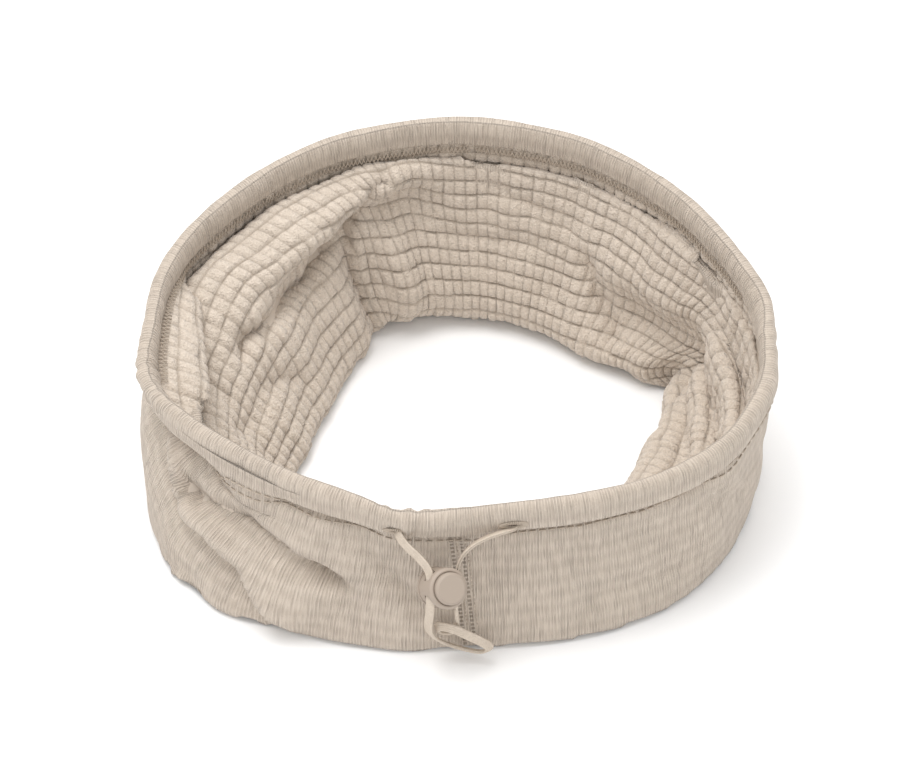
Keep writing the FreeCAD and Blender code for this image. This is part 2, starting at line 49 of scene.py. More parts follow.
# ---- camera
# A long lens 45 degrees above the front, so the ring is seen into and on its front wall.
CAMERA_AIM = np.array([-2.5, 0.0, 32.0]) * MM
CAMERA_DISTANCE = 1.0
elevation = math.radians(45.0)
camera_data = bpy.data.cameras.new("camera")
camera_data.lens = 138.0
camera_data.sensor_width = 36.0
camera_data.clip_start = 0.05
camera = bpy.data.objects.new("camera", camera_data)
bpy.context.collection.objects.link(camera)
camera.location = CAMERA_AIM + CAMERA_DISTANCE * np.array([0.0, -math.cos(elevation), math.sin(elevation)])
camera.rotation_euler = (math.pi / 2 - elevation, 0.0, 0.0)
bpy.context.scene.camera = camera

# ---- studio
# A seamless pale floor under a large soft light from the left and a wide fill, so the
# shadow is short and soft and falls to the right.
FLOOR_COLOUR = (0.93, 0.93, 0.93, 1.0)
LIGHTS_AIM = np.array([0.0, 0.0, 20.0]) * MM


def new_material(name, colour, roughness, specular=0.25):
    """A material with a Principled shader; returns it with its node tree and shader."""
    material = bpy.data.materials.new(name)
    material.use_nodes = True
    tree = material.node_tree
    shader = tree.nodes["Principled BSDF"]
    shader.inputs["Base Color"].default_value = colour
    shader.inputs["Roughness"].default_value = roughness
    shader.inputs["Specular IOR Level"].default_value = specular
    return material, tree, shader


bpy.ops.mesh.primitive_plane_add(size=6.0, location=(0, 0, 0))
floor = bpy.context.object
floor.name = "studio_floor"
floor.data.materials.append(new_material("studio_floor", FLOOR_COLOUR, 0.9, 0.1)[0])


def add_area_light(name, place, size, power):
    """A square soft box at place, turned to face the tube."""
    data = bpy.data.lights.new(name, "AREA")
    data.shape = "SQUARE"
    data.size = size
    data.energy = power
    light = bpy.data.objects.new(name, data)
    bpy.context.collection.objects.link(light)
    light.location = place
    back = np.array(place) - LIGHTS_AIM
    tilt = math.atan2(math.hypot(back[0], back[1]), back[2])
    light.rotation_euler = (tilt, 0.0, math.atan2(back[0], -back[1]))


add_area_light("key_light", (-0.4, 0.0, 1.2), 0.6, 6.0)
add_area_light("front_fill", (0.3, -1.2, 0.8), 1.0, 1.6)
add_area_light("top_light", (0.0, 0.4, 1.5), 0.9, 7.5)
world = bpy.data.worlds.new("studio")
world.use_nodes = True
world.node_tree.nodes["Background"].inputs["Color"].default_value = (1.0, 1.0, 1.0, 1.0)
world.node_tree.nodes["Background"].inputs["Strength"].default_value = 0.95
bpy.context.scene.world = world
bpy.context.scene.view_settings.view_transform = "Standard"

# ---- elastic drawcord
# One length of flat knitted elastic, 2.8 x 1.0 mm, out of the left eyelet, down through the
# cord lock, round a loose loop and back up through the lock into the right eyelet. It is
# made on a narrow-fabric loom with a few thick rubber cores, which show as lengthwise ribs.
CORD_POINTS = [
    (-17.2, -63.2, 43.3), (-17.4, -68.0, 43.4), (-15.0, -71.6, 41.4), (-10.8, -74.0, 38.6),
    (-7.83, -76.5, 35.7), (-7.83, -79.69, 32.49), (-7.83, -83.1, 29.05), (-8.3, -83.2, 23.6),
    (-8.6, -81.2, 18.4), (-8.3, -78.8, 13.2), (-6.4, -77.4, 8.6), (-2.4, -77.0, 5.6),
    (2.4, -77.2, 3.8), (6.6, -77.8, 3.4), (9.0, -78.6, 6.0), (7.0, -79.6, 9.6),
    (3.0, -80.2, 13.0), (-1.6, -80.4, 16.6), (-5.4, -79.6, 16.8), (-6.4, -77.6, 13.6),
    (-5.0, -75.9, 10.4), (-1.9, -75.5, 9.8), (-0.3, -76.1, 13.4), (-0.4, -78.0, 18.2),
    (-0.75, -80.4, 22.4), (-0.75, -80.91, 26.9), (-0.75, -77.37, 30.17), (-0.75, -74.2, 33.4),
    (0.6, -72.0, 36.8), (3.4, -70.9, 40.2), (7.6, -70.0, 42.6), (12.2, -69.2, 44.0),
    (15.6, -67.6, 43.4), (16.0, -63.2, 43.3),
]
CORD_WIDTH = 2.8 * MM
CORD_THICKNESS = 1.0 * MM


def smooth_route(points, steps):
    """Points read along the NURBS curve that has these control points."""
    data = bpy.data.curves.new("guide", "CURVE")
    data.dimensions = "3D"
    data.resolution_u = steps
    spline = data.splines.new("NURBS")
    spline.points.add(len(points) - 1)
    for target, (x, y, z) in zip(spline.points, points):
        target.co = (x * MM, y * MM, z * MM, 1.0)
    spline.order_u = 3
    spline.use_endpoint_u = True
    guide = bpy.data.objects.new("guide", data)
    bpy.context.collection.objects.link(guide)
    bpy.context.view_layer.update()
    line = bpy.data.meshes.new_from_object(guide.evaluated_get(bpy.context.evaluated_depsgraph_get()))
    route = np.array([vertex.co[:] for vertex in line.vertices])
    bpy.data.objects.remove(guide)
    bpy.data.meshes.remove(line)
    return route


def unit(vectors):
    """Vectors scaled to length 1."""
    return vectors / np.linalg.norm(vectors, axis=-1, keepdims=True)


def mesh_piece(name, vertices, faces, uvs=None):
    """A smooth-shaded mesh object in metres, with one UV pair for each vertex."""
    mesh = bpy.data.meshes.new(name)
    mesh.from_pydata(vertices.tolist(), [], faces)
    mesh.shade_smooth()
    if uvs is None:
        uvs = np.zeros((len(vertices), 2))
    layer = mesh.uv_layers.new(name="surface")
    corners = np.empty(len(mesh.loops), dtype=np.int32)
    mesh.loops.foreach_get("vertex_index", corners)
    layer.data.foreach_set("uv", uvs[corners].astype(np.float32).ravel())
    piece = bpy.data.objects.new(name, mesh)
    bpy.context.collection.objects.link(piece)
    return piece


def feed(tree, socket, given):
    """Links a socket to the one given, or sets it to the value given."""
    if isinstance(given, bpy.types.NodeSocket):
        tree.links.new(given, socket)
    else:
        socket.default_value = given


def reckon(tree, operation, *inputs):
    """A Math node; inputs are numbers or sockets."""
    node = tree.nodes.new("ShaderNodeMath")
    node.operation = operation
    for socket, given in zip(node.inputs, inputs):
        feed(tree, socket, given)
    return node.outputs[0]


def weighted(tree, *terms):
    """The sum of (value, weight) pairs."""
    total = None
    for value, weight in reversed(terms):
        term = reckon(tree, "MULTIPLY", value, weight)
        total = term if total is None else reckon(tree, "ADD", term, total)
    return total


def speckle(tree, coordinates, scale, detail=2.0):
    """The value of a Noise Texture read at coordinates."""
    node = tree.nodes.new("ShaderNodeTexNoise")
    node.inputs["Scale"].default_value = scale
    node.inputs["Detail"].default_value = detail
    tree.links.new(coordinates, node.inputs["Vector"])
    return node.outputs[0]


def blend_colours(tree, share, dark, light):
    """A colour between dark and light, which are colours or sockets."""
    node = tree.nodes.new("ShaderNodeMix")
    node.data_type = "RGBA"
    node.clamp_factor = True
    feed(tree, node.inputs["A"], dark)
    feed(tree, node.inputs["B"], light)
    tree.links.new(share, node.inputs["Factor"])
    return node.outputs["Result"]


def add_bump(tree, shader, height, depth, strength=1.0):
    """A bump of the given depth in metres."""
    node = tree.nodes.new("ShaderNodeBump")
    node.inputs["Strength"].default_value = strength
    node.inputs["Distance"].default_value = depth
    tree.links.new(height, node.inputs["Height"])
    tree.links.new(node.outputs["Normal"], shader.inputs["Normal"])


def ring_faces(rows, columns):
    """Quads between rows of points, each row a closed ring."""
    return [
        (row * columns + column, row * columns + (column + 1) % columns,
         (row + 1) * columns + (column + 1) % columns, (row + 1) * columns + column)
        for row in range(rows - 1)
        for column in range(columns)
    ]


cord_line = smooth_route(CORD_POINTS, 16)
along = unit(np.gradient(cord_line, axis=0))
# The elastic's flat side faces forward of the fabric, and turns slowly with the route.
LOCK_AXIS = np.array([0.4195, -0.6419, 0.6419])
wide = np.empty_like(along)
facing = LOCK_AXIS
for step, direction in enumerate(along):
    facing = facing - direction * np.dot(facing, direction)
    facing = facing / np.linalg.norm(facing)
    wide[step] = facing
thin = np.cross(along, wide)
SECTION = []
RIBS = 4
SIDE_STEPS = 25
for side in (1, -1):
    for step in range(SIDE_STEPS):
        share = step / (SIDE_STEPS - 1) * 2.0 - 1.0
        rib = 0.82 + 0.18 * abs(math.sin(math.pi * RIBS * (share + 1.0) / 2.0))
        edge = (1.0 - abs(share) ** 6) ** 0.5
        SECTION.append((side * share * CORD_WIDTH / 2.0, side * rib * edge * CORD_THICKNESS / 2.0))
cord_vertices = np.concatenate([
    point + np.array([wide[step] * across + thin[step] * through for across, through in SECTION])
    for step, point in enumerate(cord_line)
])
cord_faces = ring_faces(len(cord_line), len(SECTION))
cord_faces.append(tuple(reversed(range(len(SECTION)))))
cord_faces.append(tuple(range(len(cord_vertices) - len(SECTION), len(cord_vertices))))
cord_length = np.linalg.norm(np.diff(cord_line, axis=0), axis=1)
distance = np.concatenate([[0.0], np.cumsum(cord_length)])
cord_uvs = np.array([
    (share / len(SECTION), length) for length in distance for share in range(len(SECTION))
])
drawcord = mesh_piece("elastic_drawcord", cord_vertices, cord_faces, cord_uvs)
print("drawcord length mm", round(distance[-1] * 1000, 1))
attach(drawcord, "gaiter")
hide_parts("drawcord_left_leg", "drawcord_loop", "drawcord_right_leg")
# A covered elastic: pale textured yarn knitted over the cores, with a fine crosswise tick.
ELASTIC_DARK = (0.38, 0.315, 0.25, 1.0)
ELASTIC_LIGHT = (0.62, 0.535, 0.445, 1.0)
elastic_material, tree, shader = new_material("knitted_elastic", ELASTIC_LIGHT, 0.7)
coordinates = tree.nodes.new("ShaderNodeTexCoord").outputs["Object"]
yarn = speckle(tree, coordinates, 2200.0, 2.0)
streak = speckle(tree, coordinates, 500.0, 2.0)
share = weighted(tree, (yarn, 0.8), (streak, 0.6))
tree.links.new(blend_colours(tree, share, ELASTIC_DARK, ELASTIC_LIGHT), shader.inputs["Base Color"])
add_bump(tree, shader, yarn, 0.00015, 0.7)
drawcord.data.materials.append(elastic_material)

# ---- fleece tube
# One tube of grid fleece, knit smooth outside and brushed into small blocks inside. It is much
# taller than the wall it stands as, so it is pleated: down outside to the floor, up again
# inside, over, and down in a slope to the opening.

# RIM is the middle of the hem's top edge, OPENING the inner edge of the slope:
# (degrees round, x, y[, z]) in mm, 0 degrees at the front seam and 90 at the right.
RIM = [
    (0, 0, -65.5, 49.8), (10, 13, -65, 50.8), (20, 27, -64, 51.7), (30, 40, -61.5, 52.3), (40, 53, -57, 52.6),
    (50, 65, -50.5, 53.2), (60, 75.5, -41.5, 54), (69, 82.5, -31, 55.5), (77, 87, -20, 56.5),
    (88, 87.5, -5, 58.5), (97, 86, 8, 60.5), (105, 82.5, 18, 62), (116, 75, 31, 64), (128, 65, 44, 66),
    (142, 50, 57, 68), (158, 31, 67, 69.5), (181, 0, 72.5, 70.5), (205, -32, 67, 69.5), (220, -51, 57.5, 68),
    (235, -67, 44, 66), (248, -78.5, 30, 64), (260, -85.5, 15, 61.5), (271, -87.5, 0, 59.5),
    (281, -87.3, -14, 57), (291, -83, -27, 55.5), (301, -73.5, -37, 54), (311, -62, -45.5, 53),
    (326, -45, -56, 52.3), (337, -31, -62, 51.9), (349, -16, -65.5, 50.6),
]
OPENING = [
    (0, 0, -43), (20, 22, -42), (40, 37, -32), (60, 46, -17), (75, 52, -4), (90, 58, 9), (100, 63, 24),
    (107, 65.5, 31), (118, 57, 30.5), (128, 50, 33.5), (138, 42, 38), (150, 31, 45.5), (165, 18, 53.5),
    (180, 4, 58), (192, -9, 59), (203, -20, 58), (212, -23, 54), (225, -29, 42.5), (238, -34.5, 29.5),
    (250, -39, 16.5), (262, -43.5, 4), (272, -47, -7), (284, -49.5, -18), (300, -46, -30), (325, -28, -41),
]
# Each outer profile runs (inset, height) from under the hem to the floor and up inside the
# wall; each inner profile runs from the top of the inner layer to the opening and under.
OUTER = [
    (0, (0, 35), (-0.5, 31.5), (-1.5, 27.5), (-3, 23), (-5, 16), (-7.5, 8), (-8.5, 2), (-3, 14)),
    (20, (0, 36.5), (-0.5, 33), (-1, 29), (-2.5, 24), (-4, 17), (-6, 8), (-7.5, 2), (-2.5, 14)),
    (40, (0, 38), (0, 34), (-0.5, 30), (-1.5, 25), (-3, 17), (-4, 9), (-5, 2), (0, 16)),
    (60, (0, 40), (0, 36), (0, 32), (0, 27), (-0.5, 19), (0, 10), (0.5, 2), (4, 18)),
    (77, (0, 43), (0.5, 39), (0.5, 35), (1, 30), (0.5, 20), (1.5, 10), (3.5, 2), (3, 22)),
    (92, (0, 46), (-0.5, 42), (-1, 38), (-1.5, 32), (-1.5, 21), (-0.5, 10), (1, 2), (1.5, 24)),
    (107, (0, 49), (0, 45), (0, 41), (-0.5, 35), (-1, 24), (-0.5, 11), (1, 2), (2, 26)),
    (125, (0, 52), (0, 48), (-0.5, 44), (-1, 38), (-1.5, 26), (-1, 12), (1, 2), (2, 28)),
    (150, (0, 55), (0, 51), (0.5, 46), (0.5, 40), (0, 27), (0.5, 12), (2.5, 2), (3, 28)),
    (180, (0, 56.5), (0, 52), (0.5, 47), (0.5, 41), (1.5, 28), (2.5, 13), (5, 2), (5, 26)),
    (205, (0, 56), (0, 52), (1, 47), (1, 41), (1, 28), (1.5, 13), (4, 2), (4, 28)),
    (230, (0, 53), (0, 49), (0, 44), (0, 38), (-0.5, 26), (0, 12), (2, 2), (2.5, 27)),
    (250, (0, 50), (1, 47.5), (0, 45), (-1, 39), (-2, 28), (-1.5, 13), (1, 2), (2, 25)),
    (258, (4, 51.5), (12, 48), (2, 44.5), (-2, 38), (-3, 27), (-2.5, 13), (0, 2), (1.5, 23)),
    (270, (7, 49.5), (18, 43.5), (3, 39.5), (-2, 34), (-4, 25), (-3.5, 12), (0, 2), (1, 20)),
    (284, (8, 47), (20, 41), (4, 36.5), (0, 32), (-4, 23), (-4.5, 11), (-2, 2), (0, 18)),
    (296, (7, 44.5), (14, 39), (5, 34), (1, 29), (-5, 20), (-8, 10), (-8, 2), (-2, 14)),
    (308, (2, 42), (4, 37.5), (4, 33), (-3, 27.5), (-9, 18), (-15, 9), (-17, 2), (-7, 14)),
    (318, (0, 39), (2, 35), (0, 31), (-4, 26), (-10, 17), (-16, 8), (-18, 2), (-8, 13)),
    (330, (0, 38.5), (-0.5, 35), (-2, 31), (-4, 26), (-7, 18), (-11, 9), (-13, 2), (-5, 13)),
    (345, (0, 36.5), (-1, 33), (-2, 29), (-3.5, 24), (-5.5, 17), (-8.5, 8), (-10, 2), (-3.5, 14)),
]
INNER = [
    (0, (2, 32), (3.5, 30), (5.5, 27), (7.5, 23), (10, 19), (12.5, 14.5), (15, 10.5), (17.5, 7), (20, 4.5),
     (22, 2.5), (19, 1.3)),
    (40, (2, 37), (4, 33), (7, 28), (10, 24), (13, 20), (17, 16), (21, 11.5), (25, 8), (28, 5), (29.7, 3),
     (27, 1.4)),
    (65, (1, 43), (3, 32), (5, 22), (11, 29), (13, 19), (14.5, 10), (20, 16), (24, 6), (31, 10), (39, 3.5),
     (36, 1.4)),
    (80, (1, 46), (2, 34), (3, 20), (10, 31), (12, 21), (12, 9), (20, 17), (22, 5), (30, 11), (37, 4),
     (34, 1.4)),
    (92, (1, 48), (2, 35), (3, 21), (9.5, 32), (11.5, 22), (11, 10), (18.5, 18), (19.5, 6), (25.5, 11),
     (29.7, 4), (27, 1.5)),
    (100, (1.5, 50), (2.5, 40), (4, 29), (10, 34), (12, 24), (10, 13), (16.5, 18), (18, 8), (23, 9.5),
     (25.5, 3.5), (22, 1.5)),
    (107, (2, 52), (3.5, 44), (6.5, 37), (13, 31), (7, 22), (7, 16), (11.5, 15), (14, 11), (18, 8.5), (18, 4),
     (13, 1.5)),
    (118, (2, 54), (3.5, 47), (5.5, 40), (11.5, 32), (4.5, 24.5), (5.5, 18), (9, 15), (14, 13), (18, 9.5),
     (16.7, 4), (12, 1.5)),
    (128, (2, 55.5), (3.5, 49), (6, 41), (12.5, 32), (6, 24), (6.5, 18), (10, 15), (15, 12.5), (19, 8.5),
     (18.3, 4), (13, 1.5)),
    (138, (2, 57), (3.5, 50.5), (6, 43), (12.5, 33), (9, 25.5), (10, 19.5), (13.5, 15.5), (16.5, 12), (20, 8),
     (19.9, 4), (14, 1.5)),
    (150, (2, 58.3), (3, 52.5), (5, 46), (8, 39), (10.5, 31.5), (12.5, 25), (15, 19), (17.5, 13.5), (20, 8),
     (19, 3.5), (12, 1.5)),
    (165, (2, 59.5), (3, 54), (4.5, 48), (6.5, 41.5), (8.5, 35), (10.5, 28.5), (13, 22), (15.5, 15.5),
     (17.5, 9), (16, 3.5), (9, 1.5)),
    (180, (2, 60), (3, 55), (4, 48.5), (5.5, 42), (7, 35.5), (9, 29), (11.5, 22.5), (14.5, 16),
     (16.5, 9.5), (15, 3.5), (8, 1.5)),
    (192, (2, 60), (4.5, 58), (7.5, 53), (2.5, 47.5), (5, 41), (8, 34), (11, 27), (14.5, 19), (17, 11),
     (14, 3.5), (8, 1.5)),
    (203, (2, 59.5), (6, 57.5), (13, 53.5), (3.5, 47), (7, 40), (12, 34), (15.5, 27), (19, 19), (20, 11),
     (15, 3.5), (9, 1.5)),
    (212, (2, 58.5), (8, 56.5), (18, 52), (6, 44.5), (9.5, 38), (11.5, 31), (12.5, 25), (14, 18), (17, 10),
     (19.9, 3.5), (15, 1.5)),
    (225, (2, 57), (10, 54.5), (23, 50), (10, 42), (16, 35.5), (20, 30), (23, 23.5), (25.5, 17), (28, 10),
     (29.6, 3.5), (27, 1.4)),
    (238, (2, 55), (11, 52.5), (25, 48), (16, 40), (22, 34), (26, 28.5), (29, 22), (32, 16), (35, 9.5),
     (37.2, 3.5), (35, 1.4)),
    (250, (2, 53), (9, 51), (19, 47), (23, 40.5), (27, 34.5), (30, 28), (33, 22), (36, 16), (39, 9.5),
     (42.1, 3.5), (39, 1.4)),
    (262, (2, 44), (8, 43), (15, 40), (20, 36), (25, 30.5), (29, 25), (33, 19), (36.5, 13.5), (40, 8.5),
     (43.3, 3.5), (40, 1.4)),
    (272, (2, 34), (7, 35), (12, 34), (17, 31), (21.5, 27), (26, 22), (30, 17), (34, 12), (37.5, 7.5),
     (40.9, 3.5), (38, 1.4)),
    (284, (2, 31), (7, 32), (12, 31), (17, 28.5), (21, 25), (25, 20.5), (28, 16), (31, 11.5), (34, 7),
     (37, 3.5), (34, 1.4)),
    (300, (2, 31), (6, 30), (10, 28), (13.5, 25), (16.5, 21.5), (19.5, 17.5), (22, 13), (24.5, 9.5), (27, 6),
     (29, 3), (26, 1.4)),
    (325, (2, 33), (4.5, 30), (7, 27), (9.5, 23), (12, 19.5), (14.5, 15.5), (17, 11.5), (19.5, 8), (21.5, 5),
     (23, 2.5), (20, 1.4)),
]
HEM_HEIGHT = 8.0
HEM_TUCK = 4.0          # the wall starts this far up inside the hem


def round_the_tube(stations, degrees, rounder=False):
    """Values between stations round the tube. The rim and the opening take rounder curves; the
    profiles take curves that don't overshoot their stations."""
    places = np.array([station[0] for station in stations], dtype=float)
    values = np.array([np.ravel(station[1:]) for station in stations], dtype=float)
    places = np.concatenate([places[-2:] - 360, places, places[:3] + 360])
    values = np.concatenate([values[-2:], values, values[:3]])
    gaps = np.diff(places)[:, None]
    tangents = np.zeros_like(values)
    if rounder:
        tangents[1:-1] = (values[2:] - values[:-2]) / (gaps[:-1] + gaps[1:])
    else:
        slopes = np.diff(values, axis=0) / gaps
        before, after = slopes[:-1], slopes[1:]
        product = before * after
        weight = (gaps[:-1] + 2 * gaps[1:], 2 * gaps[:-1] + gaps[1:])
        with np.errstate(divide="ignore", invalid="ignore"):
            limited = (weight[0] + weight[1]) * product / (weight[0] * after + weight[1] * before)
        tangents[1:-1] = np.where(product > 0, limited, 0.0)
    degrees = np.mod(degrees, 360.0)
    span = np.clip(np.searchsorted(places, degrees, side="right") - 1, 1, len(places) - 3)
    width = gaps[span]
    t = (degrees - places[span])[:, None] / width
    return ((2 * t ** 3 - 3 * t ** 2 + 1) * values[span] + (t ** 3 - 2 * t ** 2 + t) * width * tangents[span]
            + (3 * t ** 2 - 2 * t ** 3) * values[span + 1] + (t ** 3 - t ** 2) * width * tangents[span + 1])


def spline_blend(f):
    """What each of four neighbouring control points of a uniform cubic B-spline counts for."""
    return ((1 - f) ** 3 / 6, (3 * f ** 3 - 6 * f ** 2 + 4) / 6, (-3 * f ** 3 + 3 * f ** 2 + 3 * f + 1) / 6,
            f ** 3 / 6)


def spline_weights(controls, steps):
    """Weights of a clamped uniform cubic B-spline's control points, one row for each step."""
    parameter = np.linspace(0, controls - 1, steps)
    weights = np.zeros((steps, controls))
    for row, value in enumerate(parameter):
        base = min(int(value), controls - 2)
        for offset, share in enumerate(spline_blend(value - base)):
            control = base - 1 + offset
            if control < 0:
                weights[row, 0] += 2 * share
                weights[row, 1] -= share
            elif control >= controls:
                weights[row, controls - 1] += 2 * share
                weights[row, controls - 2] -= share
            else:
                weights[row, control] += share
    return weights


FINE_STEPS = 24         # samples between control points down the fabric
OUTER_LEVELS = 8
INNER_LEVELS = 11
FLOOR_CLEARANCE = 1.3   # middle of the cloth above the floor where it folds
CONTROLS = 2 + OUTER_LEVELS + INNER_LEVELS
fine_weights = spline_weights(CONTROLS, (CONTROLS - 1) * FINE_STEPS + 1)


def fabric_controls(degrees):
    """Control points of the fabric's middle surface: one column for each place round the tube."""
    rim = round_the_tube(RIM, degrees, rounder=True)
    opening = round_the_tube(OPENING, degrees, rounder=True)
    inward = unit(opening - rim[:, :2])
    outer = round_the_tube(OUTER, degrees).reshape(-1, OUTER_LEVELS, 2)
    inner = round_the_tube(INNER, degrees).reshape(-1, INNER_LEVELS, 2)
    columns = len(degrees)
    start = np.zeros((columns, 2, 2))
    start[:, 0, 1] = rim[:, 2] - HEM_HEIGHT + HEM_TUCK
    start[:, 1, 1] = rim[:, 2] - HEM_HEIGHT
    # The spline rounds the fold at the floor, so its control point sits low enough to touch down.
    fold = OUTER_LEVELS - 2
    outer[:, fold, 1] = (6.0 * FLOOR_CLEARANCE - outer[:, fold - 1, 1] - outer[:, fold + 1, 1]) / 4.0
    profile = np.concatenate([start, outer, inner], axis=1)
    points = np.empty((columns, profile.shape[1], 3))
    points[:, :, :2] = rim[:, None, :2] + inward[:, None, :] * profile[:, :, :1]
    points[:, :, 2] = profile[:, :, 1]
    return points


ROUND_LENGTH = 495.0    # round the rim, mm
UV_UNIT = 100.0         # mm of cloth in one unit of the UV map
ROW_PITCH = 4.6         # the fleece's rows of blocks
LEVEL_HEM = 1
LEVEL_STRIP_END = 4
LEVEL_FLOOR = 8
LEVEL_TOP = 10
LEVEL_OPENING = 19
LEVEL_END = 20
RIPPLE_SEED = 11


def soft_noise(draws, around, down, waves, amplitude, shortest, longest):
    """A sum of seeded sine waves, whole round the tube: small uneven ripples in the cloth."""
    total = np.zeros(np.broadcast(around, down).shape)
    for _ in range(waves):
        length = draws.uniform(shortest, longest)
        turns = max(1, round(ROUND_LENGTH / length))
        slant = draws.uniform(-1.0, 1.0) / length
        phase = draws.uniform(0, 2 * math.pi)
        total += np.sin(2 * math.pi * (turns * around / 360.0 + slant * down) + phase)
    return amplitude * total / math.sqrt(waves)


def outward_of(dense):
    """Outward normals of the fabric at its dense points."""
    around = np.roll(dense, -1, axis=1) - np.roll(dense, 1, axis=1)
    return unit(np.cross(np.gradient(dense, axis=0), around))


def fabric_dense(degrees):
    """The whole fabric closely sampled: points, outward normals and distance from the hem's base."""
    dense = np.einsum("vk,ukc->vuc", fine_weights, fabric_controls(degrees))
    run = np.linalg.norm(np.diff(dense, axis=0), axis=2)
    distance = np.concatenate([np.zeros((1, dense.shape[1])), np.cumsum(run, axis=0)])
    distance -= distance[LEVEL_HEM * FINE_STEPS]
    dense = dense + outward_of(dense) * (ripples(degrees, distance) + relief(degrees, distance))[:, :, None]
    return dense, outward_of(dense), distance


def ripples(degrees, distance):
    """Small uneven waves of the cloth, the same for both of its faces."""
    draws = np.random.default_rng(RIPPLE_SEED)
    waves = soft_noise(draws, degrees[None, :], distance, 9, 0.5, 22.0, 60.0)
    waves += soft_noise(draws, degrees[None, :], distance, 9, 0.16, 8.0, 18.0)
    at_floor = distance[LEVEL_FLOOR * FINE_STEPS][None, :]
    lying = 1.0 - 0.85 * np.exp(-((distance - at_floor) / 7.0) ** 2)
    return waves * np.clip((distance + 2.0) / 8.0, 0.0, 1.0) * lying


# Creases and folded edges pressed into the cloth: (kind, height, width, reach, route), where the
# route runs in degrees round and mm down from the hem's base. Height is outward in mm; an edge
# is raised on the left of its route and falls away over its reach.
CREASES = [
    ("edge", 6.5, 1.3, 20.0, ((281, 28), (287, 27), (293, 28.5), (298, 32), (310, 29), (320, 31), (326, 39),
                              (332, 45))),
    ("groove", -6.8, 3.0, 0.0, ((294, 28), (300, 27), (306, 21.5), (316, 16.6), (326, 18), (335, 22.5),
                                (342, 26))),
    ("edge", 4.2, 1.3, 14.0, ((305, 27), (309, 22), (316, 19), (326, 20.5), (333, 24))),
    ("groove", -3.0, 2.4, 0.0, ((318, 3), (331, 1.5), (347, 1))),
    ("groove", -2.8, 2.2, 0.0, ((4, 1), (20, 1), (40, 1), (58, 1.5))),
    ("groove", -2.0, 3.5, 0.0, ((342, 12), (350, 20), (357, 30))),
    ("groove", -1.8, 4.0, 0.0, ((300, 54), (308, 46), (318, 48))),
    ("groove", -1.6, 3.5, 0.0, ((280, 44), (287, 50), (294, 58))),
    ("groove", -1.2, 4.0, 0.0, ((20, 34), (34, 28), (50, 30))),
    ("groove", -1.0, 3.0, 0.0, ((48, 6), (60, 16), (70, 30))),
    ("groove", 5.0, 2.6, 0.0, ((264, 128), (251, 132), (240, 139), (230, 145), (219, 141), (208, 128),
                               (198, 121))),
    ("edge", -4.2, 1.2, 14.0, ((214, 184), (214, 163), (214, 151), (212, 143), (205, 136))),
    ("groove", 3.2, 3.6, 0.0, ((150, 131), (143, 146), (131, 158))),
    ("groove", 1.8, 3.0, 0.0, ((281, 118), (270, 132), (258, 146), (246, 160))),
    ("groove", 1.7, 2.6, 0.0, ((190, 145), (172, 143), (156, 138))),
    ("groove", 1.4, 2.4, 0.0, ((178, 124), (164, 128), (150, 130))),
    ("groove", 2.8, 2.4, 0.0, ((112, 130), (104, 138), (96, 150), (92, 157))),
]


def relief(degrees, distance):
    """How far the creases move the cloth outward."""
    total = np.zeros(distance.shape)
    around = degrees * ROUND_LENGTH / 360.0
    for kind, height, width, reach, route in CREASES:
        points = np.array(route, dtype=float) * (ROUND_LENGTH / 360.0, 1.0)
        nearest = np.full(distance.shape, np.inf)
        side = np.zeros(distance.shape)
        fade = np.zeros(distance.shape)
        lengths = np.linalg.norm(np.diff(points, axis=0), axis=1)
        before = np.concatenate([[0.0], np.cumsum(lengths)])
        for index, (first, second) in enumerate(zip(points[:-1], points[1:])):
            run = (second - first) / lengths[index]
            over = np.mod(around - first[0] + ROUND_LENGTH / 2, ROUND_LENGTH)[None, :] - ROUND_LENGTH / 2
            down = distance - first[1]
            share = np.clip(over * run[0] + down * run[1], 0.0, lengths[index])
            apart = np.hypot(over - run[0] * share, down - run[1] * share)
            closer = apart < nearest
            nearest = np.where(closer, apart, nearest)
            side = np.where(closer, run[1] * over - run[0] * down, side)
            place = before[index] + share
            fade = np.where(closer, np.clip(np.minimum(place, before[-1] - place) / 10.0, 0.0, 1.0), fade)
        fade = fade * fade * (3.0 - 2.0 * fade)
        if kind == "groove":
            total += height * np.exp(-(nearest / width) ** 2) * fade
        else:
            signed = np.where(side > 0, nearest, -nearest)
            raised = 1.0 / (1.0 + np.exp(-np.clip(signed / width * 2.0, -30, 30)))
            above = raised * np.exp(-np.maximum(signed, 0.0) / reach)
            below = 0.3 * (1.0 - raised) * np.exp(-np.maximum(-signed, 0.0) / (3.0 * width))
            total += height * fade * (above - below)
    return total


def read_down(dense, normal, distance, targets):
    """Points and normals at the wanted distances (rows x columns) down each column."""
    found = np.empty(targets.shape + (6,))
    both = np.concatenate([dense, normal], axis=2)
    for column in range(targets.shape[1]):
        for part in range(6):
            found[:, column, part] = np.interp(targets[:, column], distance[:, column], both[:, column, part])
    return found[:, :, :3], unit(found[:, :, 3:])


